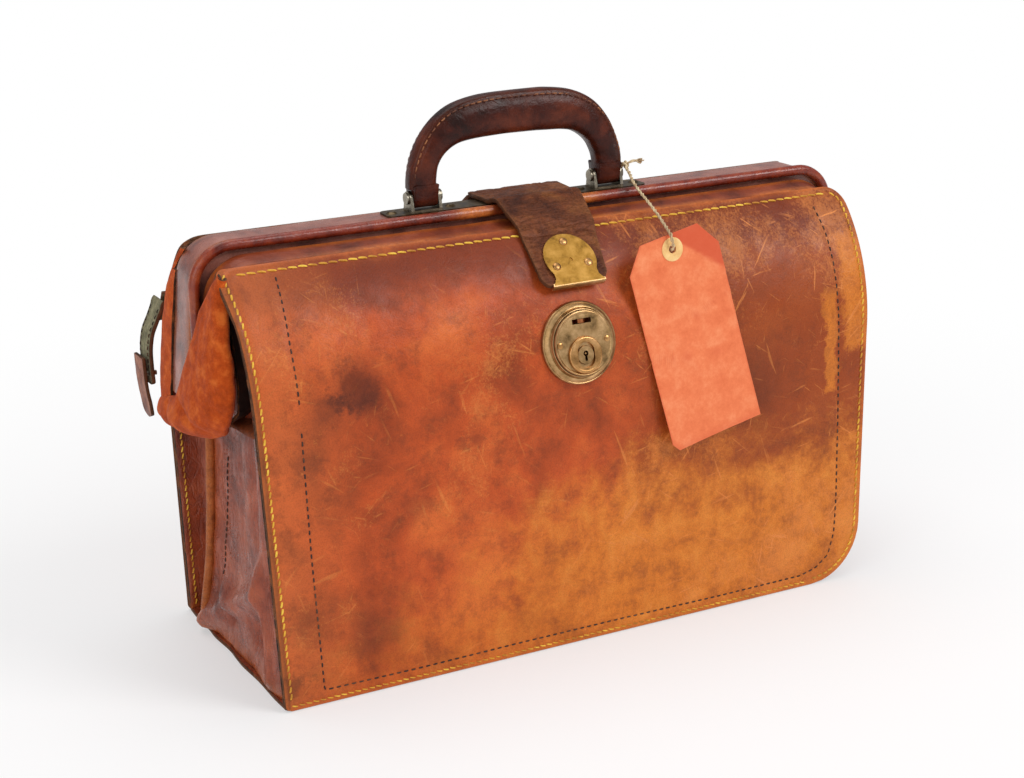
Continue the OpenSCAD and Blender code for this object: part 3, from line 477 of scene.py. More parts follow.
def frontDressing(add, place, shade):
    parts = add("SeparateXYZ", place)
    x, z = parts.outputs["X"], parts.outputs["Z"]
    flat = add("CombineXYZ", X=x, Z=z)
    drift = add("TexNoise", flat, Scale=11.0, Detail=12.0, Roughness=0.72)
    patchy = add("TexNoise", flat, Scale=42.0, Detail=12.0, Roughness=0.78)
    shift = add("Math.MULTIPLY_ADD", drift, 0.7, -0.35)
    uneven = add("Math.MULTIPLY_ADD", patchy, 0.05, -0.025)
    top = add("Math.MULTIPLY_ADD", shift, 0.06, z)
    band = add("MapRange.SMOOTHSTEP", top, 0.222, 0.246, 0.0, 0.8)
    right = add("Math.MULTIPLY_ADD", shift, 0.3, x)
    brown = add("MapRange.SMOOTHSTEP", right, -0.01, 0.1, 0.0, 0.75)
    bare = bareTan(add, x, z, shift, uneven)
    # painted light: the left part of the front lightened in orange towards its edge
    paintedLeftGlow = add("MapRange", x, -0.15, -0.2, 0.0, 0.4)
    rubbed = add("MapRange", patchy, 0.5, 0.66, 0.0, 0.75)
    rubbedBare = add("Math.MULTIPLY", rubbed, bare)
    dull = add("MapRange", patchy, 0.5, 0.36, 0.0, 0.6)
    layers = [("brown", brown), ("topBand", band), ("tan", bare), ("paintedLeftLight", paintedLeftGlow), ("tanRubbed", rubbedBare),
              ("dull", dull)]
    # short straight scratches at all angles, thickest in the middle and to the right
    worn = add("MapRange", drift, 0.45, 0.6, 0.04, 0.6)
    more = add("MapRange", x, -0.06, 0.08, 0.0, 0.4)
    worn = add("Math.ADD", worn, more, use_clamp=True)
    for turn, scale, seed, cut in frontMarks["scratches"]:
        moved = add("Mapping", flat, Location=(seed, 0.0, seed), Rotation=(0.0, turn, 0.0))
        long = add("Mapping", moved, Scale=(1.0, 1.0, 0.09))
        field = add("TexNoise", long, Scale=scale, Detail=3.0, Roughness=0.5, Distortion=0.15)
        line = add("MapRange", field, cut, cut + 0.05)
        layers.append(("scratch", add("Math.MULTIPLY", line, worn)))
    # rubbed flecks where the wax has gone, and the dark patina along the raw left edge
    flecks = add("TexNoise", flat, Scale=520.0, Detail=8.0, Roughness=0.82)
    gone = add("Math.MULTIPLY_ADD", flecks, 0.55, drift)
    gone = add("Math.MULTIPLY_ADD", more, 0.08, gone)
    gone = add("MapRange", gone, 0.83, 0.93, 0.0, 0.5)
    leaning = add("Math.MULTIPLY_ADD", z, 0.0346, 0.208)
    inFromLeft = add("Math.ADD", leaning, x)
    rim = add("MapRange.SMOOTHSTEP", inFromLeft, 0.0042, 0.0026, 0.0, 0.8)
    layers += [("scratch", gone), ("patina", rim)]
    blur = add("Math.MULTIPLY_ADD", patchy, -0.09, 0.045)
    for stainX, stainZ, size, strength in frontMarks["stains"]:
        away = add("VectorMath.DISTANCE", flat, (stainX * 0.001, 0.0, stainZ * 0.001))
        reach = add("Math.ADD", away.outputs["Value"], blur)
        spot = add("MapRange.SMOOTHSTEP", reach, size * 0.0012, size * 0.0002, 0.0, strength)
        layers.append(("stain", spot))
    return laidOver(add, shade, [(frontMarks[key], amount) for key, amount in layers])


finishes = {
    "front": tannedLeather("wornFrontHide", frontDressing, shades="#8e3813 #b84c1c #d0652a", cloud=55, patch=16,
        scuff="#da8138", scuffs=0.5, edge="#c2642a", grainDepth=0.22, crease=16, creaseDepth=0.16,
        rough=(0.36, 0.56)),
    "back": tannedLeather("wornBackHide", shades="#923a16 #bc5420 #d46a2c", cloud=60, patch=18, scuff="#cf7c3e",
        scuffs=0.55, edge="#c2642a", grainDepth=0.22, crease=16, rough=(0.38, 0.58)),
    "cutEdge": tannedLeather("burnishedCutEdge", shades="#1f1a14 #4a2f1e #9c5a2c", cloud=9, patch=5, scuff="#b8713a",
        scuffs=0.5, edge="#7a4826", grain=0.7, grainDepth=0.6, crease=3, creaseDepth=0.5, rough=(0.6, 0.8)),
    "gusset": tannedLeather("creasedGussetHide", shades="#5e2214 #97452a #b25a38", cloud=34, patch=9,
        scuff="#c86c38", scuffs=0.35, edge="#c8682c", grain=1.1, crease=7, creaseDepth=0.45, drawn=(1.0, 1.0, 0.35),
        rough=(0.2, 0.44), shine=0.42),
    "welt": tannedLeather("rolledWeltHide", shades="#5e2510 #94441e #b4622e", cloud=14, scuff="#cc8048", scuffs=0.5,
        edge="#b8672f", grainDepth=0.25, crease=5, creaseDepth=0.4, rough=(0.42, 0.6)),
    "jaw": tannedLeather("polishedJawHide", shades="#56200f #7c351c #944526", cloud=30, patch=8, scuff="#c06a2c",
        scuffs=0.45, edge="#cc702c", grain=0.7, grainDepth=0.12, crease=12, creaseDepth=0.15, rough=(0.28, 0.42),
        shine=0.32),
    # the rear jaw's brown hide with a grey-purple sheen painted into its shades, standing for the reflection on its top
    "rearJaw": tannedLeather("paintedSheenJawHide", shades="#69403a #95594a #b27464", cloud=30, patch=8, scuff="#c4692a",
        scuffs=0.42, edge="#c06a2c", grain=0.7, grainDepth=0.12, crease=12, creaseDepth=0.12, rough=(0.22, 0.34),
        coat=0.12, shine=0.4),
    "strapEdge": tannedLeather("darkStrapEdge", shades="#2a150c #4a2a18 #6b4126", cloud=9, patch=5, scuff="#7c4c2c",
        edge="#6b4126", grainDepth=0.4, crease=3, creaseDepth=0.4, rough=(0.55, 0.75)),
    "bead": tannedLeather("polishedBeadHide", shades="#58180c #842e18 #a04824", cloud=18, scuff="#cc6c30",
        scuffs=0.66, edge="#d47834", grain=0.7, grainDepth=0.12, crease=10, rough=(0.2, 0.34), coat=0.2, shine=0.4),
    "handle": tannedLeather("polishedHandleHide", shades="#230c07 #40170d #612a18", cloud=20, patch=7,
        scuff="#84401f", scuffs=0.35, edge="#5c2c18", grainDepth=0.14, rough=(0.24, 0.4), shine=0.2),
    "strap": tannedLeather("pebbledStrapHide", shades="#4c2210 #6f3819 #8a5026", cloud=22, scuff="#a0602c",
        scuffs=0.45, edge="#7a4824", grain=1.5, grainDepth=1.0, crease=3.6, creaseDepth=0.7, drawn=(0.3, 1.0, 1.0),
        rough=(0.46, 0.66)),
    "tab": tannedLeather("softTabHide", shades="#6b3a2c #99604a #b98168", cloud=12, scuff="#c79a80", edge="#5a3020",
        crease=6, creaseDepth=0.4, rough=(0.45, 0.6)),
    "divider": tannedLeather("dividerHide", shades="#5a3420 #7a4c30 #936040", cloud=40, patch=12, scuff="#a87850",
        edge="#8a5a38", grainDepth=0.2, rough=(0.5, 0.65)),
    # near-black hide for the pouches' inner sides: painted shade that stands for the shadow deep in the slot
    "paintedShadeHide": tannedLeather("paintedShadowInnerHide", shades="#160b07 #26120b #3c1e12", cloud=16, scuff="#4c2816",
        scuffs=0.3, edge="#8e4319", grain=1.0, crease=7, creaseDepth=0.3, rough=(0.6, 0.8)),
    "suede": fleshSide("brushedFleshSide", shades="#9c3a10 #c04c16 #de6e2a", edge="#b85a28", cloud=9, fibre=1.3,
        depth=1.0),
    "greySuede": fleshSide("soiledFleshSide", shades="#4f4c38 #807a5c #a9a17e", edge="#4a3c28", cloud=7, fibre=1.4,
        depth=0.9),
    "cloth": wovenCloth("soiledLiningCotton", shades="#6d5238 #8f7454 #a48a68", cloud=1000 / 22),
    "board": paperBoard("pressedBaseBoard", shades="#7c6a4a #99865f #ab9a72", edge="#6f5d40", cloud=14),
    "card": paperBoard("crumpledTagCard", shades="#dd6a3c #ea7c4c #f39464", edge="#cf4f2c", cloud=13),
    "eyelet": paperBoard("reinforcingPaper", shades="#dfae6c #f0c27e #f8d496", edge="#d8a468", cloud=6),
    "brass": agedMetal("tarnishedLockBrass", shades="#6f5636 #ab875a #cfa97a", cloud=9, rough=(0.3, 0.46)),
    "brightBrass": agedMetal("rubbedCollarBrass", shades="#8a6238 #bd8c56 #d8a872", cloud=7, rough=(0.26, 0.4)),
    "hasp": agedMetal("wornHaspBrass", shades="#84602c #b0823a #c99a50", cloud=8, rough=(0.3, 0.48)),
    "nickel": agedMetal("wornNickelPlate", shades="#5b5142 #8c8474 #b2ab9c", cloud=6, rough=(0.3, 0.45)),
    "plate": agedMetal("tarnishedBasePlate", shades="#33281b #574834 #86755a", cloud=6, rough=(0.36, 0.5)),
    "steel": agedMetal("dullFrameSteel", shades="#3a3733 #5c5852 #7a756c", cloud=8, rough=(0.4, 0.55)),
    "copper": agedMetal("wornBoltCopper", shades="#6a3a22 #a8643c #c9845a", cloud=4, rough=(0.3, 0.45)),
    "yellowThread": waxedThread("yellowLinenThread", shades="#b5751c #e0a62c #f2c544", cloud=12, strand=1.1),
    "darkThread": waxedThread("blackenedLinenThread", shades="#1c100c #2e1a12 #54341f", cloud=16, strand=1.1),
    "brownThread": waxedThread("brownLinenThread", shades="#4a2415 #7a4526 #9c6238", cloud=10, strand=1.1),
    "twine": waxedThread("twistedHempTwine", shades="#b39670 #cfb48a #e2cca4", cloud=5, strand=0.6),
}
print("finishes made:", len(finishes))


def lengthOf(line):
    return sum((Vector(b) - Vector(a)).length for a, b in zip(line, line[1:]))


def walked(points):
    # each point of a line, with the way gone to it and the line's direction there
    gone = 0.0
    for i, p in enumerate(points):
        if i:
            gone += (p - points[i - 1]).length
        yield p, gone, (points[min(i + 1, len(points) - 1)] - points[max(i - 1, 0)]).normalized()


def strandRows(line, middle, radius, turns, start, sides=8):
    # one strand wound round a line: turns is how many millimetres one turn takes
    rows = []
    for p, gone, d in walked([Vector(p) for p in line]):
        u = d.cross(Vector((1, 0, 0))).normalized()
        v = d.cross(u)
        a = start + 2 * pi * gone / turns
        centre = p + (u * cos(a) + v * sin(a)) * middle
        rows.append([centre + (u * cos(2 * pi * k / sides) + v * sin(2 * pi * k / sides)) * radius
                     for k in range(sides)])
    return rows


# the tag's string comes first: its route is the one that its solid follows
string = {"route": ((74.5, 2.6, 272.7), (74.5, 4.7, 275), (74.5, 5.2, 277.6), (74.5, 4.4, 280), (74.5, 2, 282),
                    (74.5, -1, 282.4), (74.2, -4, 281.2), (73.4, -9, 279.2), (72.6, -12.5, 277.8),
                    (70.2, -20, 274.8), (68.6, -30, 270.8), (67.8, -42, 266), (66.6, -54, 261.3), (65, -65, 256.9),
                    (63.4, -74, 253.4), (63.3, -75.4, 252.5), (63.3, -76.4, 251.5), (63.3, -77, 250.3),
                    (63.5, -77.3, 248.5), (63.9, -77.3, 247), (64.4, -77, 245.2), (64.8, -76.1, 243.7),
                    (65.1, -75.1, 242.8), (65.3, -74.3, 242.3), (65.3, -72.9, 241.7)),
          "thick": 2.4, "strand": 0.62, "twist": 7.5}


def makeString():
    line = curveThrough(string["route"], 5)
    shape = Shape()
    for start in (0, pi):
        shape.tube(strandRows(line, string["thick"] / 2 - string["strand"], string["strand"], string["twist"], start))
    made = shape.settle("tagString", "twine", "twine", "string", "tag_string")
    length = lengthOf(line) * 0.001
    [c * 0.001 for c in string["route"][0]]
    [[c * 0.001 for c in p] for p in line]
    print("string made, metres long:", round(length, 4))


makeString()

# the two leather shells; a seam is its side, inset, pitch, stitch length and thread
frontShell = {"foot": 87.0, "shoulder": 81.0, "bend": 170.0, "radius": 118.006, "top": 260.2, "side": -1,
              "seams": (("left", 4.4, 4.5, 3.8, 1.3), ("bottom", 3.4, 4.5, 3.8, 0.91), ("right", 4.4, 4.5, 3.8, 1.3),
                        ("top", 6.3, 6.3, 5.5, 1.3)), "slant": 0.9}
backShell = {"foot": 87.0, "shoulder": 81.0, "bend": 150.0, "radius": 139.238, "top": 268.0, "side": 1,
             "seams": [(part, 4.4, 4.5, 3.8, 1.3) for part in ("bottom", "right", "top", "left")], "slant": 1.4}
panel = {"base": 208.0, "tip": 217.0, "leftCorner": 4.0, "rightCorner": 38.0, "topCorner": 12.0, "thick": 3.6,
         "seamIn": 4.4, "leftTopCorner": 5.0, "leftDrawnIn": 2.5, "drawnFrom": 225, "drawnTo": 258, "inset": 0.6,
         "low": (0.6, 1.6, 2.8, 4, 5.2, 6.4, 7.6, 8.4, 9.2, 10.2, 11.6, 14, 17, 21, 26, 32, 38),
         "high": (16, 13, 10.5, 8.5, 7.2, 6.2, 5.2, 4.2, 3, 1.8, 0.6),
         "left": (0, 0.9, 2, 3.2, 4.2, 5.2, 6.4, 8, 11, 15, 19.5, 22.5, 24, 25.2, 26.4, 27.6, 29.4, 33),
         "right": (33, 28, 26, 24.8, 23.6, 22.4, 21.2, 20, 17.5, 13, 9.5, 7.4, 6.2, 5.2, 4.2, 3.2, 2, 0.9, 0)}
frontFold = ("case", "front_jaw", (0, 0, 0.020), (0, 0, 0.170))
wingFold = ("case", "front_jaw", (0, -0.083, 0.020), (0, -0.1525, 0.0668))
# the inner seam, as X and distance up the leather
innerSeam = ((-184.5, 263), (-187.1, 220), (-186.7, 159), (-185.6, 92), (-182.7, 9.2), (-120.5, 8.6), (-51.7, 9.1),
             (20.6, 9.0), (96.6, 8.3), (160.5, 8.6), (173, 11.5), (183.4, 19), (188, 34), (189.6, 56.5), (190.4, 112),
             (190.3, 191), (191.4, 217), (191.6, 240), (189.2, 263.7))


def footOf(shell):
    # length of the straight lower part
    return hypot(shell["foot"] - shell["shoulder"], shell["bend"])


def onShell(shell, s, depth=0.0):
    # distance from the middle plane and height, s up along the leather and depth into it
    foot = footOf(shell)
    if s <= foot:
        return mix(shell["foot"], shell["shoulder"], s / foot) - depth, shell["bend"] * s / foot
    q, r = (s - foot) / shell["radius"], shell["radius"]
    return shell["shoulder"] - r * (1 - cos(q)) - depth * cos(q), shell["bend"] + r * sin(q) - depth * sin(q)


def upShell(shell, z):
    # how far up along the leather a height is
    if z <= shell["bend"]:
        return footOf(shell) * z / shell["bend"]
    return footOf(shell) + shell["radius"] * asin(min((z - shell["bend"]) / shell["radius"], 1.0))


def insideOf(shell, z, gap):
    # distance from the middle plane to a little inside the leather at a height
    return onShell(shell, upShell(shell, z))[0] - panel["thick"] - gap


def shellNormal(shell, s):
    q = max(0.0, (s - footOf(shell)) / shell["radius"])
    return Vector((0, shell["side"] * cos(q), sin(q)))


def onPanel(shell, x, s, lift=0.0):
    away, z = onShell(shell, s, -lift)
    return Vector((x, shell["side"] * away, z))


def panelWidth(shell, z):
    return mix(panel["base"], panel["tip"], z / shell["top"])


def panelSide(shell, z, inset, right):
    # where a panel's side lies at a height, moved in by inset
    low = (panel["rightCorner"] if right else panel["leftCorner"]) - inset
    high = (panel["topCorner"] if right or shell is backShell else panel["leftTopCorner"]) - inset
    x = panelWidth(shell, z) - inset
    if shell is frontShell and not right:
        x += panel["leftDrawnIn"] * smooth(panel["drawnFrom"], panel["drawnTo"], z)
    rise, drop = max(z - inset, 0.0), max(shell["top"] - inset - z, 0.0)
    if rise < low:
        x -= low - sqrt(low * low - (low - rise) ** 2)
    if drop < high:
        x -= high - sqrt(high * high - (high - drop) ** 2)
    return x if right else -x


def edgeDistance(shell, x, s):
    # about how far a place on a panel is from its edge
    z, total = onShell(shell, s)[1], upShell(shell, shell["top"])
    wide = panelWidth(shell, z)
    near = min(wide - abs(x), s, total - s)
    for corner, cx, cz in ((panel["rightCorner"], 1, 0), (panel["topCorner"], 1, 1), (panel["topCorner"], -1, 1)):
        dx = x * cx - (wide - corner)
        dz = (s - (total - corner)) if cz else (corner - s)
        if dx > 0 and dz > 0:
            near = min(near, corner - hypot(dx, dz))
    return max(near, 0.0)


def frontLift(x, s):
    # unevenness of the front: sunk at both seams, flat under the lock, worn down at the edges
    total = upShell(frontShell, frontShell["top"])
    edge = edgeDistance(frontShell, x, s)
    calm = smooth(10, 45, edge) * smooth(27, 52, hypot(x + 4, s - 194.4))
    lift = calm * (0.75 * ripple(x, s, 80, 3.1) + 0.25 * ripple(x, s, 23, 7.7))
    lift -= 0.5 * hump(edge - panel["seamIn"], 1.7) + 0.5 * hump(edge, 1.6)
    if edge < 45:
        seam = min(fromLine(x, s, *a, *b) for a, b in zip(innerSeam, innerSeam[1:]))
        lift -= 0.4 * hump(seam, 1.5)
    return lift - 0.15 * smooth(total - 22, total, s)


def backLift(x, s):
    edge = edgeDistance(backShell, x, s)
    return (smooth(10, 45, edge) * (0.7 * ripple(x, s, 70, 11.3) + 0.25 * ripple(x, s, 22, 5.9))
            - 0.5 * hump(edge - panel["seamIn"], 1.7) - 0.5 * hump(edge, 1.6))


def sewn(shape, line, pitch, reach, width, rise=0.55, slant=0.0, missing=-2.0):
    # a row of stitches along a line of points and outward directions
    points, ups = [Vector(p) for p, n in line], [Vector(n) for p, n in line]
    marks = [0.0]
    for a, b in zip(points, points[1:]):
        marks.append(marks[-1] + (b - a).length)

    def at(want):
        want = min(max(want, 0.0), marks[-1])
        low, high = 0, len(marks) - 2
        while low < high:
            k = (low + high + 1) // 2
            low, high = (k, high) if marks[k] <= want else (low, k - 1)
        t = (want - marks[low]) / max(marks[low + 1] - marks[low], 1e-9)
        return (points[low].lerp(points[low + 1], t), ups[low].lerp(ups[low + 1], t).normalized(),
                (points[low + 1] - points[low]).normalized())

    for i in range(int(marks[-1] / pitch)):
        middle = (i + 0.5) * pitch
        if ripple(middle, i, 37, 4.0) < missing:
            continue
        fat = width * (1 + 0.12 * ripple(middle, i, 9, 1.0))
        rows = []
        for t, high, thick in ((-0.5, -0.5, 0.6), (-0.4, 0.25, 0.95), (-0.15, 0.6, 1.05), (0.15, 0.6, 1.05),
                               (0.4, 0.25, 0.95), (0.5, -0.5, 0.6)):
            p, n, d = at(middle + t * reach)
            aside = d.cross(n)
            centre = p + n * high * rise + aside * slant * t
            rows.append([centre + (n * cos(pi * k / 3) * 0.75 + aside * sin(pi * k / 3)) * fat / 2 * thick
                         for k in range(6)])
        shape.tube(rows)
    return shape


def panelLoop(shell, part, inset):
    # one side of the line that runs round a panel at a distance inside its edge
    total = upShell(shell, shell["top"])
    ups = [mix(inset, total - inset, k / 180) for k in range(181)]
    left, right = ([(panelSide(shell, onShell(shell, s)[1], inset, way), s) for s in ups] for way in (False, True))
    if part == "bottom":
        return [(mix(left[0][0], right[0][0], k / 160), inset) for k in range(160)]
    if part == "top":
        return [(mix(right[-1][0], left[-1][0], k / 160), total - inset) for k in range(1, 160)]
    return right if part == "right" else left[::-1]


def makePanel(name, shell, lift, rides, *stands):
    total = upShell(shell, shell["top"])
    low, high, left, right = (panel[key] for key in ("low", "high", "left", "right"))
    middle, across = ceil((total - high[0] - low[-1]) / 5), 80
    rows = []
    for s in ([*low] + [mix(low[-1], total - high[0], k / middle) for k in range(1, middle)]
              + [total - h for h in high]):
        z = onShell(shell, s)[1]
        a, b = (panelSide(shell, z, panel["inset"], way) for way in (False, True))
        row = []
        for x in ([a + d for d in left] + [mix(a + left[-1], b - right[0], k / across) for k in range(1, across)]
                  + [b - d for d in right]):
            edge = edgeDistance(shell, x, s)
            worn = hump(edge - 0.5, 2.4) * (0.75 + 0.25 * ripple(x, s, 15, 2.0))
            worn = max(worn, 0.6 * hump(edge, 9) * smooth(0.0, 0.5, ripple(x, s, 26, 9.0)))
            row.append((*onPanel(shell, x, s, lift(x, s)), worn))
        rows.append(row)
    rim = ((0.55, 0.16), (0.6, 0.42), (0.1, 0.5), (0.6, 0.58), (0.55, 0.84))
    Shape().sheet(rows, panel["thick"], -shell["side"], rim).settle(
        name + "Panel", name + " cutEdge", "panel_leather", rides, *stands)
    edge, inner = Shape(), Shape()
    for part, inset, pitch, reach, width in shell["seams"]:
        line = [(onPanel(shell, x, s, lift(x, s)), shellNormal(shell, s)) for x, s in panelLoop(shell, part, inset)]
        sewn(edge, line, pitch, reach, width, slant=shell["slant"], missing=-0.6)
    edge.settle(name + "EdgeStitches", "yellowThread", "twine", rides)
    line = [(onPanel(shell, x, s, lift(x, s)), shellNormal(shell, s)) for x, s in spaced(innerSeam, 420)]
    sewn(inner, line, 4.9, 3.0, 0.95, rise=0.35, missing=-0.5)
    inner.settle(name + "InnerStitches", "darkThread", "twine", rides)


makePanel("front", frontShell, frontLift, frontFold, "front_panel", "front_panel_upper")
makePanel("back", backShell, backLift, "case", "back_panel")
print("panels made")

# gussets: from the front panel back to a fold, in behind it and out to the back panel
gusset = {"thick": 2.2, "top": 205.0, "foldX": 208.0, "deepX": 189.0, "welt": 3.1, "rightFoot": 38.6, "levels": 74,
          "step": 2.0, "fold": ((5, 50), (23, 42.9), (56, 29.6), (99, 19.9), (140, 14.3), (205, 12.5)),
          "bottom": ((-88, 3.0), (-58, 3.1), (-40, 3.6), (-10, 3.3), (30, 3.4), (50, 3.1), (88, 3.0)),
          "counts": (1, 2, 5, 6, 8, 8, 7, 5, 3, 3, 4, 6, 5, 4, 3, 2, 2), "weltFoot": {-1: 4.5, 1: 40.5},
          "weltTop": 150.5, "seam": ((14, 51), (3.5, 91), (-6.7, 140)), "pushRight": 0.45}
sideNames = {-1: "Left", 1: "Right"}


def pushOut(y, z):
    # the folds and hollows of the crushed lower end, out of the leather
    roll = ((49, 9), (21, 24), (-9, 40), (-37, 55), (-60, 68))
    crease = ((-57, 61), (-60, 37), (-60, 10))
    out = 6.5 * hump(min(fromLine(y, z, *a, *b) for a, b in zip(roll, roll[1:])), 7)
    out += 5.5 * hump(min(fromLine(y, z, *a, *b) for a, b in zip(crease, crease[1:])), 4)
    out += 5.5 * hump(hypot(y - 7, z - 42), 8) + 5.0 * hump(hypot(y + 53, (z - 77) * 0.7), 8)
    out -= 8 * hump(hypot((y + 38) * 0.8, z - 29), 11) + 6 * hump(hypot(y - 8, (z - 26) * 1.2), 7)
    out -= 6.5 * hump(hypot(y + 68, (z - 42) * 0.6), 4) + 6.5 * hump(hypot(y + 70, (z - 14) * 0.8), 4)
    high = smooth(70, 95, z)
    out += high * (1.6 * hump(y + 62, 7) - 2.4 * hump(y + 50, 5) + 1.8 * hump(y + 37, 7) - 1.6 * hump(y + 24, 6))
    out -= 7 * hump(fromLine(y, z, -72, 66, -73, 10), 2.6)
    calm = smooth(-82, -70, y)
    out *= smooth(1.0, 12.0, z) if out < 0 else 1.0
    return out * calm + calm * (0.9 * ripple(y, z, 22, 1.3) + 0.5 * ripple(y, z * 0.6, 9, 6.1))


def gussetLine(z, side):
    # the gusset seen from above at a height, from the front panel's edge to the back panel's
    edge = panelWidth(frontShell, z)
    front, back = insideOf(frontShell, z, 0.3), insideOf(backShell, z, 0.3)
    foldX, fold, deep = gusset["foldX"], along(gusset["fold"], z), gusset["deepX"] - 5 * smooth(60, 5, z)
    chosen = ((edge - 0.9, -front + 2.3), (edge - 2.6, -front + 2.5), (edge - 4.2, -front + 4.4),
              (foldX - 2.0, -front + 14), (206.5, -54), (205.0, -38), (204.6, -20), (205.4, fold - 17),
              (foldX, fold - 2.2), (foldX - 1.2, fold + 1.2), (foldX - 5, fold + 3.2), (198, fold + 6.5),
              (deep, fold + 13), (deep + 1.5, mix(fold + 13, back, 0.45)), (edge - 19, back - 6),
              (edge - 12, back - 2.9), (edge - 6, back - 2.4), (edge - 0.9, back - 2.4))
    line = []
    for i, steps in enumerate(gusset["counts"]):
        a, b = chosen[max(i - 1, 0)], chosen[i]
        c, d = chosen[i + 1], chosen[min(i + 2, len(chosen) - 1)]
        line += curveThrough((a, b, c, d), steps)[steps:2 * steps]
    line.append(chosen[-1])
    points = []
    for k, (x, y) in enumerate(line):
        amount = smooth(0.10, 0.2, k / len(line)) * smooth(0.66, 0.58, k / len(line))
        worn = hump(hypot(x - foldX, y - fold), 3.4)
        amount *= 1 if side < 0 else gusset["pushRight"]
        points.append(Vector((side * (x + amount * pushOut(y, z)), y, z, worn)))
    return points


def makeGusset(side):
    name = sideNames[side]
    low = 0.0 if side < 0 else gusset["rightFoot"]
    floors = [along(gusset["bottom"], p.y) + 0.8 * ripple(p.y, 3, 7, 2.2) if side < 0 else low
              for p in gussetLine(max(low, 10), side)]
    rows, step = [], gusset["step"]
    tables = [gussetLine(k * step, side) for k in range(int(gusset["top"] / step) + 2)]
    for k in range(gusset["levels"] + 1):
        row = []
        for j, foot in enumerate(floors):
            z = mix(max(foot, 0.4), gusset["top"], (k / gusset["levels"]) ** 1.15)
            at = min(int(z / step), len(tables) - 2)
            p = tables[at][j].lerp(tables[at + 1][j], z / step - at)
            row.append((p.x, p.y, z, max(p[3], 0.9 * hump(z - foot, 2.5), 0.5 * hump(z - foot, 9))))
        rows.append(row)
    Shape().sheet(rows, gusset["thick"], side, ((0.35, 0.25), (0.45, 0.6))).settle(
        "gusset" + name, "gusset cutEdge", "gusset_leather", wingFold, "gusset_" + name.lower(), sharp=60)
    # the rolled welt over the fold
    rings = []
    for k in range(50):
        z = mix(gusset["weltFoot"][side], gusset["weltTop"], k / 49)
        y = along(gusset["fold"], z) - 0.6
        thick = gusset["welt"] * (1 + 0.08 * ripple(z, side, 14, 3.3))
        rings.append([(side * (gusset["foldX"] + 1.4 + thick * cos(a)), y + thick * sin(a), z,
                       0.5 + 0.5 * max(0.0, cos(a + 0.5))) for a in [2 * pi * j / 12 for j in range(12)]])
    Shape().tube(rings).settle("welt" + name, "welt", "gusset_leather", wingFold, "gusset_welt_" + name.lower(),
                               sharp=60)
    line = []
    for y, z in spaced(gusset["seam"], 60):
        x = min((abs(p.y - y), abs(p.x)) for p in gussetLine(z, side)[12:48])[1]
        line.append((Vector((side * x, y, z)), Vector((side, -0.05, 0)).normalized()))
    sewn(Shape(), line, 4.6, 3.2, 1.0).settle("gussetStitches" + name, "darkThread", "twine", wingFold)
    line = []
    for z in [mix(max(low, 5), 200, k / 120) for k in range(121)]:
        spot = Vector((side * (panelWidth(backShell, z) - 4.6), insideOf(backShell, z, 0.3) - 2.4, z))
        line.append((spot, Vector((0, -1, 0))))
    sewn(Shape(), line, 4.5, 3.8, 1.1, slant=1.0).settle("gussetRearStitches" + name, "yellowThread", "twine", "case")


# the bottom leather lies flat from left to turnAt and turns up round the right-hand corner, with a board on it
bottom = {"left": -207.0, "turnAt": 170.0, "radius": 37.7, "lift": 0.3, "thick": 2.6, "frayFrom": -206,
          "wornFrom": -203, "boardX": (-182.5, 169), "boardHalf": 77, "boardTop": 5.4, "boardThick": 2.3}
lining = {"inset": {"front": 13.0, "back": 21.0}, "low": 7.5, "topGap": 22.0, "half": 212.0, "depth": 4.15,
          "opening": (-31, 23, 166, 220)}
divider = {"corners": (((-203.8, 6), 3), ((203.8, 6), 34), ((203.8, 204.6), 6), ((-203.8, 204.6), 6)), "half": 0.95}


def makeBottom():
    left, at, radius, lift = (bottom[key] for key in ("left", "turnAt", "radius", "lift"))
    turn = [(left, 0.4)] + [(mix(left, at, k / 60), lift) for k in range(1, 61)]
    turn += [(at + radius * sin(pi / 2 * k / 14), lift + radius - radius * cos(pi / 2 * k / 14)) for k in range(1, 15)]
    rows = []
    for x, z in turn:
        front, back = insideOf(frontShell, z, 0.4), insideOf(backShell, z, 0.4)
        rows.append([(x + (1.2 * ripple(k, 0, 6, 8.8) if x < bottom["frayFrom"] else 0), mix(-front, back, k / 40), z,
                      0.9 if x < bottom["wornFrom"] else 0.0) for k in range(41)])
    Shape().sheet(rows, bottom["thick"], 1, ((0.3, 0.3), (0.4, 0.7))).settle(
        "bottomLeather", "gusset cutEdge", "panel_leather", "case", "bottom_panel")
    half = bottom["boardHalf"]
    rows = [[(mix(*bottom["boardX"], j / 30), mix(-half, half, i / 16),
              bottom["boardTop"] + 0.15 * ripple(i * 9, j * 9, 40, 2)) for j in range(31)] for i in range(17)]
    Shape().sheet(rows, bottom["boardThick"]).settle("baseBoard", "board", "base_board", "case", "bottom_board")


def makeLining(name, shell, rides):
    inset, low, high = lining["inset"][name], lining["low"], upShell(shell, shell["top"]) - lining["topGap"]
    rows = []
    for i in range(36):
        s = mix(low, high, i / 35)
        a, b = (panelSide(shell, onShell(shell, s)[1], inset, way) for way in (False, True))
        rows.append([onPanel(shell, mix(a, b, j / 48), s, 0.12 * ripple(i * 6, j * 8, 30, 4) - lining["depth"])
                     for j in range(49)])
    shape = Shape()
    shape.grid(rows)
    if shell is frontShell:
        # an opening behind the lock's case
        left, right, foot, top = lining["opening"]
        shape.faces = [f for f in shape.faces if not all(
            left < shape.points[c][0] < right and foot < shape.points[c][2] < top for c in f)]
        shape.kinds = [0] * len(shape.faces)
    made = shape.settle("lining" + name.title(), "cloth", "lining_cloth", rides, "lining_" + name)


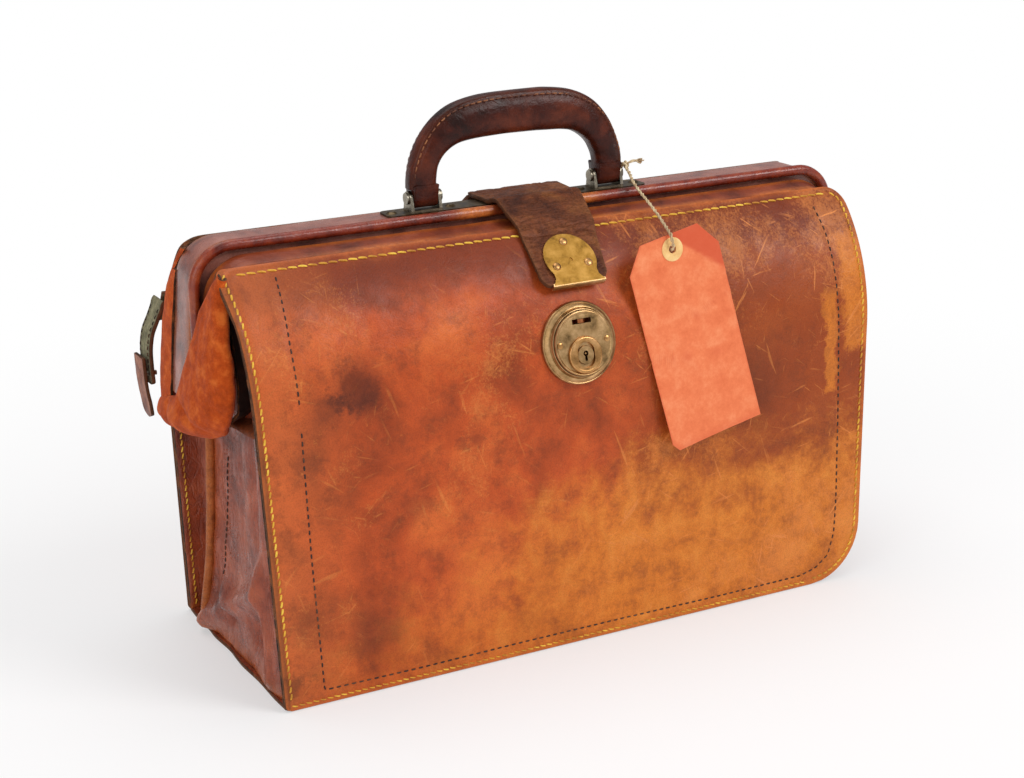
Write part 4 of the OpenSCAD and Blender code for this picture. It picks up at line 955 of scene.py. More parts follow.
def makeDivider():
    outline, corners = [], divider["corners"]
    for i, (corner, radius) in enumerate(corners):
        outline += roundedCorner(corners[i - 1][0], corner, corners[(i + 1) % 4][0], radius, 8)
    upright = Matrix(((1, 0, 0), (0, 0, 1), (0, 1, 0)))
    Shape().plate(outline, -divider["half"], divider["half"], upright, 0.3).settle(
        "centerDivider", "divider", "divider_leather", "case", "center_divider")


for side in (-1, 1):
    makeGusset(side)
makeBottom()
makeLining("front", frontShell, frontFold)
makeLining("back", backShell, "case")
makeDivider()
print("gussets, bottom, linings and divider made")

# the soft pouches over the frame's feet
pouch = {"upper": ((-45, 257), (-37, 247.5), (-26, 232), (-23.5, 218), (-17, 202), (-7, 183.5), (-2, 175.5),
                   (28.7, 166.8), (34, 160)),
         "lower": ((-46, 254.5), (-46.5, 245), (-52.5, 227), (-58.5, 207), (-61, 196), (-60.5, 184), (-55.5, 173),
                   (-47, 165), (-34, 160), (-14, 156.5), (15, 153.5), (34, 157)),
         "base": (216.5, 219.8, 223, 227, 229.8, 231, 231.8, 232.2, 231.5),
         "hang": (216.5, 218, 219.5, 221.5, 223.5, 225.5, 227, 228, 228.5),
         "swell": (0.1, 0.35, 0.6, 0.85, 1.0, 1.05, 1.0, 0.7, 0.35),
         "profile": ((0, 0), (0.05, 1.8), (0.18, 4.0), (0.38, 6.4), (0.6, 7.6), (0.78, 7.0), (0.9, 4.6), (0.975, 1.2),
                     (0.995, -0.8), (0.94, -3.0), (0.8, -5.0), (0.62, -6.5), (0.5, -7.2)),
         "fold": ((161, -44), (176, -57), (192, -60.5), (207, -58.5), (227, -52.5), (245, -46), (254, -45)),
         "padBack": ((161, 33), (176, 35.5), (215, 34), (240, 26), (249, 19)), "count": 90,
         "webHeights": {-1: (161, 254), 1: (161, 244)}, "padHeights": (161, 249), "rearHeights": (160, 262),
         "padFront": 12.6, "armFoot": 231, "armTop": 222, "armFrom": 176, "armRise": 92}


def armOut(z):
    # how far out the rear arm stands at a height
    up = min(max((z - pouch["armFrom"]) / pouch["armRise"], 0), 1)
    return mix(pouch["armFoot"], pouch["armTop"], up)


def pouchRows(side):
    rows, count = [], pouch["count"]
    tops, lows = (spaced(pouch[key], count) for key in ("upper", "lower"))
    for i in range(count):
        u = i / (count - 1)
        base, hang, swell = (along([(k / 8, value) for k, value in enumerate(pouch[key])], u)
                             for key in ("base", "hang", "swell"))
        row = []
        for v, out in curveThrough(pouch["profile"], 5):
            y, z = mix(tops[i].x, lows[i].x, v), mix(tops[i].y, lows[i].y, v)
            x = mix(base, hang, v) + out * swell * (1.0 if side < 0 else 0.4)
            soft = smooth(0.0, 0.15, v)
            x += soft * (1.3 * ripple(y, z, 19, 5.5) + 0.8 * ripple(y * 1.6, z, 8, 2.5))
            x -= 2.2 * soft * hump(fromLine(y, z, -14, 176, -50, 163), 3.2) * swell
            x += 1.6 * soft * hump(fromLine(y, z, -4, 166, -40, 170), 4.5)
            x -= 1.8 * soft * hump(fromLine(y, z, 10, 170, 4, 150), 3)
            if side > 0:
                y, z = y + 4 * smooth(0.3, 0.1, u), z - 9 * smooth(0.3, 0.0, u)
            worn = 0.75 * smooth(0.93, 1.0, v) * (1 if out < 0 else 0.3) + 0.6 * smooth(20, 30, y)
            row.append((side * x, y, z, worn))
        rows.append(row)
    return rows


def frontWebRows(side):
    # the inner side of the pouch, from the front panel's edge in and out again to the pouch; its near-black hide is
    # painted shade of the deep slot, and its lower part, where the slot closes, takes the hide's orange edge colour
    rows = []
    for i in range(34):
        z = mix(*pouch["webHeights"][side], i / 33)
        front, shut = insideOf(frontShell, z, 0.5), smooth(176, 163, z)
        edge, deep = panelWidth(frontShell, z), mix(196, 212, shut)
        fold = along(pouch["fold"], z)
        line = curveThrough(((edge - 1.0, -front + 2.2), (edge - 4, -front + 3.4), (deep, -front + 7),
                             (deep + 1, fold + 8), (mix(213, 219, shut), fold + 6)), 4)
        rows.append([(side * (x + 0.5 * ripple(y, z, 12, 4.4)), y, z + 11 * shut * (1 - k / 16), 0.8 * shut)
                     for k, (x, y) in enumerate(line)])
    return rows


def padRows(side):
    # the strip along the back of the rear arm
    rows = []
    for i in range(40):
        z = mix(*pouch["padHeights"], i / 39)
        row = []
        for t in [k / 12 for k in range(13)]:
            y = mix(pouch["padFront"], along(pouch["padBack"], z), t)
            x = armOut(z) + (1.4 + 1.1 * sin(pi * t)) * smooth(250, 236, z) - 4.5 * smooth(0.8, 1.0, t)
            row.append((side * (x + 0.5 * ripple(y, z, 9, 7.2)), y, z))
        rows.append(row)
    return rows


def rearWebRows(side):
    # the web from the strip to the back panel
    rows = []
    for i in range(34):
        z = mix(*pouch["rearHeights"], i / 33)
        back, arm = insideOf(backShell, z, 0.5), armOut(z)
        path = ((214.5, back - 1.5), (216, min(56, back - 4)), (min(220.5, arm - 2), min(46, back - 8)),
                (min(arm - 3.5, 227), min(33, back - 12)))
        rows.append([(side * (x + 0.5 * ripple(y, z, 14, 1.7)), y, z) for x, y in curveThrough(path, 5)])
    return rows


for side in (-1, 1):
    rows, ear = pouchRows(side), "ear_" + sideNames[side].lower()
    for name, hide, sheetRows, thick, way, rim, rides in (
            ("earPouch", "suede", rows, 2.0, -side, ((0.3, 0.3), (0.3, 0.7)), wingFold),
            ("earFrontWeb", "paintedShadeHide", frontWebRows(side), 1.8, side, ((0.2, 0.5),), wingFold),
            ("earRearPad", "suede", padRows(side), 2.0, side, ((0.3, 0.5),), "case"),
            ("earRearWeb", "suede", rearWebRows(side), 1.9, -side, ((0.2, 0.5),), "case")):
        Shape().sheet(sheetRows, thick, way, rim).settle(name + sideNames[side], hide + " cutEdge", "suede", rides, ear,
                                                         sharp=60)
    line = [(Vector((row[4][0] + side * 0.2, row[4][1] * 0.5 + row[6][1] * 0.5, row[4][2] * 0.5 + row[6][2] * 0.5)),
             Vector((side, -0.25, 0.3)).normalized()) for row in rows[3:62]]
    sewn(Shape(), line, 5.6, 4.2, 1.0, slant=1.0).settle("pouchStitches" + sideNames[side], "yellowThread", "twine",
                                                         wingFold)
print("pouches made")

# leather on the two jaws; a section's points are how deep in from the outline, and Y
rearJaw = {"top": 222.0, "foot": 231.0, "height": 268.0, "corner": 25.0, "low": 176.0,
           "section": ((12.4, -14.4), (6, -14.4), (1.5, -14.4), (0.4, -14.0), (0, -13.0), (-0.15, -7), (-0.2, 0),
                       (-0.15, 7), (0, 12.2), (0.4, 13.2), (1.5, 13.6), (6, 13.6), (12.4, 13.6), (12.4, 12.1),
                       (1.5, 12.1), (1.5, -12.9), (12.4, -12.9))}
frontJaw = {"top": 214.0, "foot": 224.5, "height": 259.3, "corner": 24.0, "low": 190.0,
            "section": ((7, -36.3), (1.6, -36.3), (0.6, -35.9), (0.2, -35.0), (-0.8, -31), (-1.8, -27), (-2.9, -22.6),
                        (-2.8, -21.6), (-2.0, -20.95), (7, -20.95), (7, -22.4), (1.5, -22.5), (1.5, -34.8), (7, -34.8))}
bead = {"top": 223.6, "foot": 223.6, "height": 267.2, "corner": 23.6, "low": 188.0, "y": -17.0, "radius": 3.4}


def archPath(jaw):
    # the jaw's outline from the left foot over to the right, each point with its inward direction
    foot, top, height, low = (jaw[key] for key in ("foot", "top", "height", "low"))
    points = [(-foot, low), (-top, height), (top, height), (foot, low)]
    left, right = (roundedCorner(*points[k:k + 3], jaw["corner"], 14) for k in (0, 1))
    line = []
    for a, b, count, arc in ((points[0], left[0], 16, left), (left[-1], right[0], 70, right),
                             (right[-1], points[3], 16, [points[3]])):
        line += [(mix(a[0], b[0], k / count), mix(a[1], b[1], k / count))
                 for k in range(0 if a is points[0] else 1, count)] + arc
    for i, p in enumerate(line):
        a, b = line[max(i - 1, 0)], line[min(i + 1, len(line) - 1)]
        t = Vector((b[0] - a[0], b[1] - a[1])).normalized()
        yield *p, t.y, -t.x


def jawRows(jaw, seed):
    rows, ends = [], [pick(y for o, y in jaw["section"]) for pick in (min, max)]
    for x, z, nx, nz in archPath(jaw):
        row = []
        for o, y in jaw["section"]:
            skin = 1.0 if o < 3 else 0.0
            d = o - skin * (0.35 * ripple(x + z, y, 26, seed) + 0.12 * ripple(x + z, y, 7, seed))
            edge = min(abs(y - end) for end in ends)
            worn = skin * (0.95 * hump(edge, 2.2) * smooth(-0.6, 0.25, ripple(x + z, y, 22, seed + 4)))
            row.append((x + nx * d, y, z + nz * d, worn))
        rows.append(row)
    return rows


def makeJaws():
    rows = []
    for x, z, nx, nz in archPath(bead):
        radius = bead["radius"] * (1 + 0.05 * ripple(x, z, 30, 6.0))
        rubbed = max(hump(x + 42, 10), hump(x - 34, 8)) * 1.5
        patch = 0.8 * smooth(0.1, 0.5, ripple(x + z, 0, 24, 3.0))
        row = []
        for a in [2 * pi * k / 14 for k in range(14)]:
            o, y = -radius * cos(a), radius * sin(a)
            worn = min(1.0, max(patch * max(0.0, cos(a - 0.9)), rubbed))
            row.append((x + nx * o, bead["y"] + y, z + nz * o, worn))
        rows.append(row)
    Shape().tube(jawRows(rearJaw, 2.0)).tube(rows, kind=1).settle(
        "rearJawLeather", "rearJaw bead", "jaw_leather", "case", "rear_jaw_cover", sharp=50)
    Shape().tube(jawRows(frontJaw, 5.0)).settle(
        "frontJawLeather", "jaw", "jaw_leather", "front_jaw", "front_jaw_cover", sharp=50)


makeJaws()
print("jaws made")

# the handle, as the outer and inner line of its arch
grip = {"middle": -3.5, "depth": 17.0, "pin": 277.2, "tongue": (56.7, 72.7), "tongueRadius": 6.3, "count": 96,
        "outer": ((-75.0, 283.0), (-74.6, 290), (-72.0, 300.5), (-65.8, 313.5), (-56.0, 325.0), (-43.0, 332.6),
                  (-25, 336.2), (0, 337.2), (25, 336.4), (41.5, 333.4), (55.0, 326.0), (65.2, 314.8), (71.6, 300.8),
                  (74.6, 290), (75.0, 283.0)),
        "inner": ((-56.6, 282.6), (-56.4, 289), (-55.2, 296.5), (-50.6, 303.2), (-43, 307.6), (-34, 309.6),
                  (-20, 310.4), (0, 310.8), (20, 310.4), (33.5, 309.4), (42.5, 306.6), (50.5, 300.4), (54.6, 293.5),
                  (56.3, 288), (56.6, 282.6))}


def makeGrip():
    count, centre = grip["count"], grip["middle"]
    outer, inner = (spaced(curveThrough(grip[key], 8), count) for key in ("outer", "inner"))
    rows, ridge = [], []
    for i, (o, n) in enumerate(zip(outer, inner)):
        middle, up = (o + n) / 2, o - n
        half = up.length / 2
        up.normalize()
        deep = grip["depth"] / 2 * mix(0.86, 1.0, smooth(0, 9, min(i, count - 1 - i))) - 0.3
        row = []
        for k in range(28):
            a = 2 * pi * (k + 0.5) / 28
            c, s = cos(a), sin(a)
            e = half * (1 if s > 0 else -1) * abs(s) ** 0.62
            y = deep * (1 if c > 0 else -1) * abs(c) ** 0.62
            lip = hump(hypot(e / half * 8 - 7.2, abs(y) - deep + 1.2), 2.2)
            groove = hump((e / half - 0.52) * 9, 1.4)
            e += 0.55 * lip * (1 if s > 0 else 0)
            y *= 1 - 0.2 * smooth(0.5, 0.66, e / half) - 0.14 * groove
            x, z = middle.x + up.x * e, middle.y + up.y * e
            x, z = x + 0.25 * ripple(x, z + y, 14, 3.0), z + 0.25 * ripple(z, x + y, 14, 8.0)
            worn = 0.55 * lip + 0.25 * smooth(0.2, 0.6, ripple(x, z, 12, 1.0)) * (1 if s > 0.3 else 0)
            row.append((centre + x, y, z, worn))
        rows.append(row)
        ridge.append((middle + up * half * 0.78, deep))
    shape = Shape().tube(rows)
    turn = Matrix(((0, 0, 1), (1, 0, 0), (0, 1, 0))).to_4x4()
    radius, pin = grip["tongueRadius"], grip["pin"]
    outline = [(radius * cos(pi + pi * k / 14), pin + radius * sin(pi + pi * k / 14)) for k in range(15)]
    outline += [(radius + 0.8, pin + 5), (radius + 1.2, pin + 8.5), (-radius - 1.2, pin + 8.5),
                (-radius - 0.8, pin + 5)]
    a, b = grip["tongue"]
    for middle in (-(a + b) / 2 + centre, (a + b) / 2 + centre):
        for flip in (-1, 1):
            world = Matrix.Translation((middle, 0, 0)) @ (turn @ Matrix.Diagonal((1, 1, flip, 1)))
            shape.plate(outline, 0.0, (b - a) / 2, world, 0.7)
    shape.settle("handleGrip", "handle", "handle_leather", "handle", "handle_grip", sharp=44)
    seams = Shape()
    for face in (-1, 1):
        line = [(Vector((centre + p.x, face * deep * 0.8, p.y)), Vector((0, face, 0))) for p, deep in ridge[3:-3]]
        sewn(seams, line, 4.4, 3.1, 0.85, rise=0.4, missing=-0.6)
    seams.settle("handleStitches", "brownThread", "twine", "handle")


makeGrip()
print("handle made")

# the closing strap: over is the line of its under side across the frame, as Y and Z
strap = {"root": 32.0, "tip": 22.5, "rootX": 3.0, "tipX": -1.5, "thick": 3.2, "end": 35.5, "tipCorner": 8.0,
         "turn": 44.6966, "leave": (-46.877, 253.0), "anchor": (232.5, 267.6), "seamHalf": 28.5, "seamIn": (3.5, 3),
         "over": ((16.0, 269.9), (10, 269.95), (0, 269.9), (-8, 269.9), (-11, 270.2), (-13.8, 271.4), (-17, 271.9),
                  (-20.2, 271.5), (-23.2, 269.8)), "rim": ((0.3, 0.2), (0.35, 0.8))}


def strapLine():
    # from the root on the back over the frame to the tip
    chosen, total = [*strap["over"]], upShell(frontShell, frontShell["top"])
    for back in (2.0, 5.5, 9.0):
        away, z = onShell(frontShell, total - back, -0.9 - 0.5 * hump(back - 2, 3))
        chosen.append((-away, z))
    q = radians(strap["turn"])
    down = Vector((-sin(q), -cos(q)))
    chosen += [Vector(strap["leave"]) + down * strap["end"] * k for k in (0, 0.25, 0.5, 0.75, 1.0)]
    return spaced(curveThrough(chosen, 6), 92)


def strapFrame():
    q = radians(strap["turn"])
    origin = Vector(strap["leave"]) + Vector((-cos(q), sin(q))) * strap["thick"]
    return Matrix.Translation((-0.5, origin.x, origin.y)) @ Matrix.Rotation(pi / 2 - q, 4, "X")


def makeStrap():
    line = strapLine()
    length, corner = lengthOf(line), strap["tipCorner"]
    rows = []
    for p, gone, d in walked(line):
        t, left = gone / length, length - gone
        half = mix(strap["root"], strap["tip"], smooth(0.08, 0.95, t) * 0.4 + t * 0.6)
        if left < corner:
            half -= corner - sqrt(max(corner ** 2 - (corner - left) ** 2, 0.0))
        row = []
        for v in [k / 40 * 2 - 1 for k in range(41)]:
            x = mix(strap["rootX"], strap["tipX"], t) + half * v
            edge = (1 - abs(v)) * half
            crease = (-0.55 * hump(ripple(x * 0.25, gone, 4.2, 9.0), 0.10)
                      - 0.35 * hump(ripple(x, gone * 0.4, 7, 4.0), 0.08))
            plump = (0.15 * ripple(x, gone, 9, 2.0) - 0.5 * hump(1 - abs(v), 0.05) + crease * smooth(1.0, 0.9, abs(v))
                     - 0.4 * hump(edge - 4.2, 0.9))
            height = strap["thick"] + plump * smooth(length, length - 12, gone)
            row.append((x, p.x + d.y * height, p.y - d.x * height, 0.8 * hump(min(edge, left), 1.5)))
        rows.append(row)
    Shape().sheet(rows, strap["thick"] - 0.2, -1, strap["rim"]).settle(
        "closingStrap", "strap strapEdge", "strap_leather", "strap", "strap", sharp=60)
    low, high = (upShell(backShell, z) for z in strap["anchor"])
    middle, half = strap["rootX"], strap["root"]
    rows = [[(*onPanel(backShell, middle + half * (j / 20 - 1), mix(low, high, i / 19),
                       3.3 + 0.2 * ripple(i * 3, j * 3, 9, 1)), 0.8 * hump(min(i, 19 - i, j, 40 - j), 0.8))
             for j in range(41)] for i in range(20)]
    Shape().sheet(rows, 3.1, -1, strap["rim"]).settle(
        "strapRoot", "strap strapEdge", "strap_leather", "case", "strap_anchor", sharp=60)
    seam = Shape()
    left, right = middle - strap["seamHalf"], middle + strap["seamHalf"]
    low, high = low + strap["seamIn"][0], high - strap["seamIn"][1]
    loop = [(left, low), (right, low), (right, high), (left, high), (left, low)]
    for a, b in zip(loop, loop[1:]):
        places = [(mix(a[0], b[0], k / 20), mix(a[1], b[1], k / 20)) for k in range(21)]
        sewn(seam, [(onPanel(backShell, x, s, 3.4), shellNormal(backShell, s)) for x, s in places], 5.0, 3.6, 1.0)
    seam.settle("strapRootStitches", "yellowThread", "twine", "case")


makeStrap()
print("strap made")

# the hasp, and the lock's turned parts as radius and height
hasp = {"radius": 17.0, "middle": -18.5, "thick": 1.2, "rivets": ((0, -6.5), (-11, -23), (11, -23)), "stop": 14.4,
        "flare": ((14.5, -31.5), (15.8, -33.6), (17.6, -35.4)),
        "lip": ((-34.4, 1.3), (-35.6, 1.3), (-36.3, 1.0), (-36.65, 0.3), (-36.65, -3.2), (-35.6, -3.2), (-35.6, 0.1),
                (-34.4, 0.12)),
        "rivet": ((1.35, -3.1), (1.35, 1.3), (2.7, 1.35), (2.6, 1.75), (2.0, 2.2), (1.0, 2.42), (0.01, 2.45))}
lock = {"at": (-4.0, -78.534, 194.0), "turn": 11.7346, "collarY": -7.2, "slotY": 13.5,
        "ring": ((0.01, -2), (25.5, -2), (25.5, 0.9), (25.2, 1.7), (24.7, 2.15), (24.3, 2.0), (24.0, 2.3), (23.3, 3.1),
                 (22.5, 3.8), (21.9, 4.0), (21.4, 3.8), (21.15, 4.1), (21.05, 5.3), (20.8, 5.8), (20.4, 5.95),
                 (20.3, 5.2), (19.0, 4.9), (0.01, 4.9)),
        "face": ((0.01, 6), (20, 6), (20, 7.0), (19.7, 7.5), (19.2, 7.65), (18.7, 7.45), (18.3, 6.95), (17.9, 6.8),
                 (17.4, 6.9), (0.01, 6.9)),
        "rivet": ((1.15, -1.5), (1.15, 6.95), (1.9, 7.0), (1.8, 7.35), (1.1, 7.6), (0.01, 7.65)),
        "collar": ((0.01, 7), (11.4, 7), (11.4, 7.9), (11.2, 8.5), (10.7, 8.9), (10.0, 9.0), (9.4, 8.8), (9.1, 8.75),
                   (0.01, 8.75)),
        "plug": ((0.01, -10), (5.68, -10), (5.68, 7.9), (5.4, 8.2), (0.01, 8.2)),
        "post": ((0.01, -6), (0.62, -6), (0.62, 7.5), (0.5, 7.8), (0.01, 7.85))}


def arc(radius, x, y, first, last, count):
    # points round an arc, with both ends
    turns = [mix(first, last, k / count) for k in range(count + 1)]
    return [(x + radius * cos(a), y + radius * sin(a)) for a in turns]


def turned(profile, world, spots, steps):
    shape = Shape()
    for x, y in spots:
        shape.lathe(profile, world @ Matrix.Translation((x, y, 0)), steps)
    return shape


def hole(outline, low, high, world):
    return Shape().tube([[world @ Vector((x, y, z)) for x, y in outline] for z in (low, high)])


def makeHasp():
    # a disc that steps out and flares to the lip below
    world, middle = strapFrame(), hasp["middle"]
    stop = asin(hasp["stop"] / hasp["radius"])
    disc = arc(hasp["radius"], 0, middle, 1.5 * pi - stop, stop - pi / 2, 56)
    outline = [(-x, y) for x, y in hasp["flare"][::-1]] + disc + [*hasp["flare"]]
    holes = [turned([(1.45, -3), (1.45, 4)], world, [spot], 24) for spot in hasp["rivets"]]
    holes.append(turned([(1.3, 0.9), (1.3, 4)], world, [(0.0, middle - 1)], 24))
    Shape().plate(outline, 0.12, 0.12 + hasp["thick"], world, 0.35).settle(
        "haspPlate", "hasp", "hasp_brass", "strap", "hasp_plate", sharp=40, holes=holes)
    Shape().tube([[world @ Vector((x, y, z)) for y, z in hasp["lip"]] for x in (-18, -17.4, 0, 17.4, 18)]).settle(
        "haspLip", "brass", "hasp_brass", "strap", "hasp_plate", sharp=40)
    turned(hasp["rivet"], world, hasp["rivets"], 24).settle(
        "haspRivets", "brightBrass", "pin_nickel", "strap", "hasp_rivets", sharp=40)


def makeLock():
    world = Matrix.Translation(lock["at"]) @ Matrix.Rotation(pi / 2 - radians(lock["turn"]), 4, "X")
    y, slotY = lock["collarY"], lock["slotY"]
    middle = world @ Matrix.Translation((0, y, 0))
    disc = [(5.78 * cos(2 * pi * k / 40), 5.78 * sin(2 * pi * k / 40)) for k in range(40)]
    oval = arc(5.8, 0, y + 2.2, 0, pi, 16) + arc(5.8, 0, y - 2.2, pi, 2 * pi, 16)
    keyhole = arc(1.7, 0, 1, -0.35 * pi, 1.35 * pi, 18) + [(-0.85, -3.6), (0.85, -3.6)]
    big, small = ([(-half, slotY - rise), (half, slotY - rise), (half, slotY + rise), (-half, slotY + rise)]
                  for half, rise in ((6.6, 1.6), (6.5, 1.5)))
    for name, look, profile, spots, steps, sharp, holes, rides, *stands in (
            ("lockRing", "brass", "ring", ((0, 0),), 96, 30,
             (hole(disc, -10, 12, middle), hole(big, -10, 12, world)), "front_jaw", "lock_ring"),
            ("lockFace", "brass", "face", ((0, 0),), 96, 30,
             (hole(small, -10, 12, world), hole(disc, -10, 12, middle)), "front_jaw", "lock_face"),
            ("lockFaceRivets", "brightBrass", "rivet", ((-16.3, 0.5), (16.3, 0.5)), 24, 40, (), "front_jaw",
             "lock_face_rivets"),
            ("lockCollar", "brightBrass", "collar", ((0, y),), 72, 30, (hole(oval, 3, 15, world),), "front_jaw",
             "lock_collar"),
            ("lockPlug", "brass steel", "plug", ((0, y),), 40, 30, (hole(keyhole, 0, 15, middle),), "lock_plug",
             "lock_plug"),
            ("lockPost", "brightBrass", "post", ((0, y + 1),), 20, 40, (), "lock_plug")):
        turned(lock[profile], world, spots, steps).settle(name, look, "lock_brass", rides, *stands, sharp=sharp,
                                                          holes=holes)


makeHasp()
makeLock()
print("hasp and lock made")

# the pull strap behind the left end, as X and Z
pull = {"near": 55.0, "far": 73.0, "thick": 2.6, "tabThick": 2.2,
        "line": ((-217.6, 217.8), (-218.8, 216.4), (-219.6, 213.6), (-222.5, 207.5), (-226.3, 199), (-228, 190),
                 (-228.1, 180), (-227.5, 167.3)),
        "tab": ((-230.3, 185), (-229.6, 168), (-228, 156), (-226.5, 146)), "rim": ((0.2, 0.25), (0.3, 0.75)),
        "rootX": (-217.6, -188.4), "rootZ": (203.5, 222.5), "rootThick": 2.5, "seamIn": 2.2}


def ribbonRows(line, count, near, far, away, corner, seed):
    points = spaced(curveThrough(line, 8), count)
    length = lengthOf(points)
    rows = []
    for p, gone, d in walked(points):
        way, left = -1 if d.y > 0 else 1, length - gone
        narrow = corner - sqrt(max(corner ** 2 - (corner - left) ** 2, 0.0)) if left < corner else 0.0
        row = []
        for v in [k / 12 for k in range(13)]:
            y = mix(near + narrow, far - narrow, v)
            height = (away + 0.2 * ripple(y, gone, 8, seed)) * way
            row.append((p.x + d.y * height, y, p.y - d.x * height, 0.7 * hump(min(y - near, far - y, left), 1.4)))
        rows.append(row)
    return rows


def makePull():
    near, far, thick = pull["near"], pull["far"], pull["thick"]
    low, high = (upShell(backShell, z) for z in pull["rootZ"])
    root = [[(*onPanel(backShell, mix(*pull["rootX"], j / 18), mix(low, high, i / 11),
                       pull["rootThick"] + 0.2 + 0.15 * ripple(i, j, 4, 1)),
              0.7 * hump(min(i, 11 - i, j, 18 - j), 0.8)) for j in range(19)] for i in range(12)]
    tab = ribbonRows(pull["tab"], 26, near + 1, far - 1, 2.65 + pull["tabThick"], 6, 7.0)
    for name, look, rows, deep, way, rides, stood in (
            ("pullStrap", "greySuede", ribbonRows(pull["line"], 40, near, far, thick, 3, 2.0), thick - 0.2, 1, "pull",
             "pull_strap"),
            ("pullTab", "tab", tab, pull["tabThick"] - 0.1, 1, "pull", "pull_tab"),
            ("pullRoot", "greySuede", root, pull["rootThick"], -1, "case", "pull_anchor")):
        slotName = "tab_leather" if name == "pullTab" else "pull_leather"
        Shape().sheet(rows, deep, way, pull["rim"]).settle(name, look + " strapEdge", slotName, rides, stood, sharp=60)
    seam = Shape()
    for y in (near + pull["seamIn"], far - pull["seamIn"]):
        rows = ribbonRows(pull["line"], 40, y - 0.5, y + 0.5, thick + 0.15, 0, 2.0)
        sewn(seam, [(Vector(row[6][:3]), Vector((-1, 0, 0.2)).normalized()) for row in rows[3:-2]], 4.0, 2.6, 0.9)
    seam.settle("pullStitches", "darkThread", "twine", "pull")


makePull()
print("pull strap made")

# the luggage tag, left bare
tag = {"at": (65.3, -74.016, 242.3), "lean": 7.0, "turn": 12.0, "half": 33.5, "top": 9.5, "low": -123.5, "cut": 12.0,
       "cutDown": 16.0, "thick": 0.6, "hole": 2.55, "ring": 7.5}


def makeTagCard():
    # rings run from the hole out to the card's outline, in front and behind
    world = (Matrix.Translation(tag["at"]) @ Matrix.Rotation(radians(-tag["lean"]), 4, "X")
             @ Matrix.Rotation(radians(-tag["turn"]), 4, "Y"))
    half, top, low, down = tag["half"], tag["top"], tag["low"], tag["top"] - tag["cutDown"]
    corners = [(-half, low + 5), (-half + 4, low), (half, low), (half, down), (half - tag["cut"], top),
               (tag["cut"] - half, top), (-half, down)]
    outline = []
    for a, b in zip(corners, corners[1:] + corners[:1]):
        count = max(2, int(hypot(b[0] - a[0], b[1] - a[1]) / 3.5))
        outline += [(mix(a[0], b[0], k / count), mix(a[1], b[1], k / count)) for k in range(count)]
    rows = []
    for edgeX, edgeZ in outline:
        reach, row = hypot(edgeX, edgeZ), []
        for j in range(31):
            r = mix(tag["hole"], reach, (j / 30) ** 1.35)
            x, z = edgeX / reach * r, edgeZ / reach * r
            free = smooth(9, 24, r)
            curl = free * (0.9 * smooth(-50, -123, z) * (x / half) ** 2 + 0.5 * max(0.0, ripple(x, z, 36, 6.0)))
            # the crumple lines are bumps in the card and are also darkened through the wear attribute, as painted shade
            crumple = free * 0.5 * (hump(fromLine(x, z, 4, -46, 34, -38), 0.9)
                                    + hump(fromLine(x, z, -34, -62, 20, -74), 0.8)
                                    + hump(fromLine(x, z, 2, 6, 34, -24), 1.0) + 0.4 * max(0.0, ripple(x, z, 8, 3.0)))
            # the upper right corner beyond this line takes the darker edge colour as painted shade of a fold that the
            # card's mesh doesn't have
            paintedFoldShade = 0.85 * smooth(-1.2, 1.2, (x - 2) * 0.68 + (z - 6) * 0.73)
            row.append((*(world @ Vector((x, -tag["thick"] - curl - crumple, z))),
                        max(paintedFoldShade, 0.35 * hump(reach - r, 1.2), 0.7 * crumple)))
        rows.append(row)
    out = world.to_3x3() @ Vector((0, tag["thick"] - 0.05, 0))
    behind = [[(*(Vector(p[:3]) + out), p[3]) for p in row] for row in rows]
    shape = Shape()
    for face in (rows, behind, *([[row[j], back[j]] for row, back in zip(rows, behind)] for j in (0, 30))):
        shape.grid(face, roundRows=True)
    shape.settle("tagCard", "card", "tag_card", "tag", "tag_card", sharp=60)
    shape = Shape()
    near, far = tag["hole"], tag["ring"]
    for low, high in ((0.05, 0.42), (-0.68, -1.05)):
        bent = mix(low, high, 0.8)
        shape.grid([[world @ Vector((r * cos(2 * pi * k / 48), y, r * sin(2 * pi * k / 48))) for k in range(48)]
                    for r, y in ((near, low), (far, low), (far, bent), (far - 0.15, high), (near + 0.25, high),
                                 (near, bent))], roundRows=True, roundCols=True)
    shape.settle("tagEyelet", "eyelet", "tag_ring", "tag", "tag_eyelet", sharp=40)


# the string's loop is tied at the handle's foot, with short frayed ends of these thicknesses
tieEnds = (((84.5, -7.5, 285.0), 0.75), ((85.5, -5.5, 283.2), 0.7), ((83.5, -9.5, 286.3), 0.5),
           ((86.5, -7.0, 284.2), 0.45), ((81.5, -10.5, 283.5), 0.5))


def makeTie():
    shape = Shape()
    for k, (end, thick) in enumerate(tieEnds):
        line = curveThrough(((74.2, -3.0, 282.2), (77.0, -4.5 - k * 0.4, 284.0), (80.5, -6.0, 284.6), end), 5)
        shape.tube(strandRows(line, 0.25, thick, 6.0, k, 6))
    knot = [(74.4 + 2.2 * cos(a), -2.8 + 1.7 * sin(a), 282.0 + 1.6 * sin(2 * a))
            for a in [2 * pi * k / 30 for k in range(31)]]
    shape.tube(strandRows(knot, 0.35, 0.75, 5.0, 0, 7))
    shape.settle("tagTie", "twine", "twine", "string", sharp=60)


makeTie()
makeTagCard()
print("tag made")

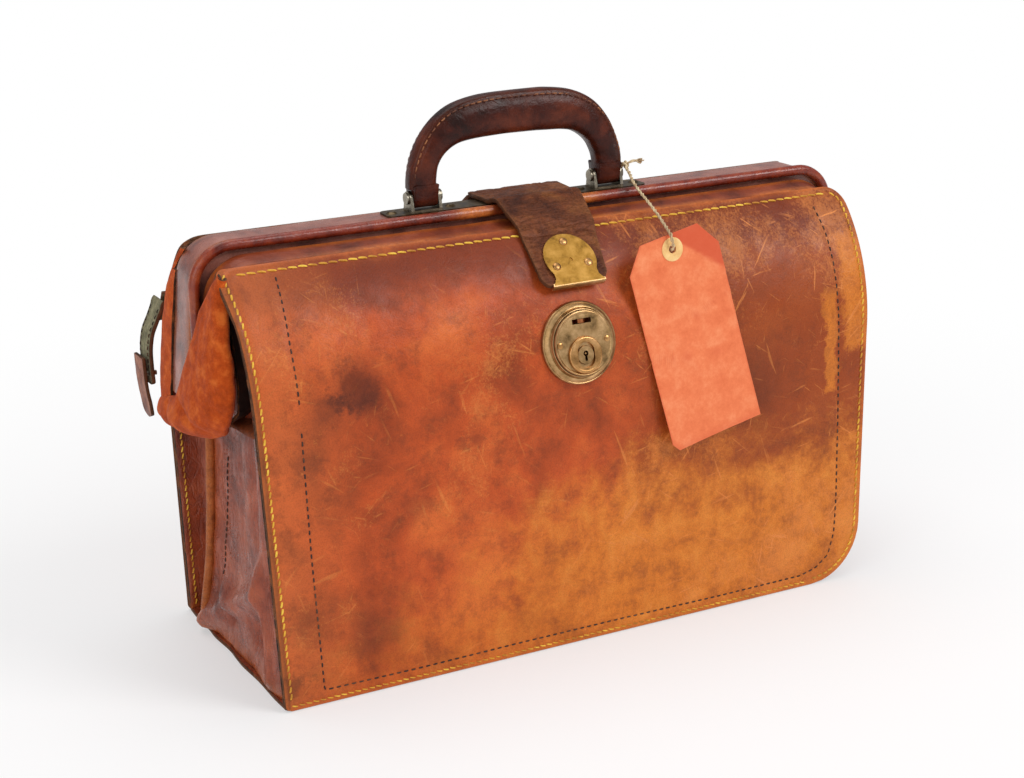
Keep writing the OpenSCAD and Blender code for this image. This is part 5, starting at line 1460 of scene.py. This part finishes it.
# metal that keeps the frame's own shapes
kept = {"steel": "front_jaw_frame rear_jaw_frame handle_core lock_studs lock_case",
        "plate": "handle_plate handle_rivets",
        "nickel": "hinge_pins handle_brackets handle_pins hasp_staple pull_rivets", "copper": "lock_bolt"}
for finish, nodes in kept.items():
    for node in nodes.split():
        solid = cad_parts[node]
        solid.data.materials.clear()
        solid.data.materials.append(finishes[finish])
print("metal dressed")

# floor and light: lamps in metres with their size and power; the paper turns white away from the case
stageLook = {"floor": "#f4f2f1", "sky": "#f4f6fa", "skyStrength": 0.42, "floorHalf": 20000.0,
             "lamps": (("key", (1.5, -1.9, 2.0), 1.5, 44.0), ("fill", (-2.2, -1.5, 1.3), 2.2, 20.0),
                       ("over", (-0.1, 0.5, 2.4), 2.2, 24.0))}


def makeStage():
    half = stageLook["floorHalf"]
    floor = Shape()
    floor.grid([[(mix(-half, half, j / 24), mix(-half, half, i / 24), 0.0) for j in range(25)] for i in range(25)])
    finish, world = bpy.data.materials.new("matteStudioPaper"), bpy.data.worlds.new("studio")
    scene.world = world
    add = startNodes(finish)
    rays = add("LightPath").outputs
    seen = add("Math.MAXIMUM", rays["Is Camera Ray"], rays["Is Glossy Ray"])
    away = add("VectorMath.LENGTH", add("TexCoord").outputs["Object"]).outputs["Value"]
    far = add("MapRange.SMOOTHSTEP", away, 0.12, 0.85, 0.42)
    white = add("Emission", "#ffffff", 1.0)
    add("OutputMaterial", add("MixShader", add("Math.MULTIPLY", seen, far),
                              add("BsdfDiffuse", stageLook["floor"]), white))
    floor.piece("floor", [finish])
    add = startNodes(world)
    rays = add("LightPath").outputs
    seen = add("Math.MAXIMUM", rays["Is Camera Ray"], rays["Is Transmission Ray"])
    dim = add("Background", stageLook["sky"], stageLook["skyStrength"])
    add("OutputWorld", add("MixShader", seen, dim, add("Background", "#ffffff", 1.0)))
    for name, place, size, power in stageLook["lamps"]:
        lamp = bpy.data.objects.new(name, bpy.data.lights.new(name, "AREA"))
        lamp.data.shape = "DISK"
        lamp.data.size = size
        lamp.data.energy = power
        lamp.location = place
        lamp.rotation_euler = (Vector((0, 0, 0.15)) - Vector(place)).to_track_quat("-Z", "Y").to_euler()
        scene.collection.objects.link(lamp)


makeStage()
scene.view_settings.view_transform = "Standard"
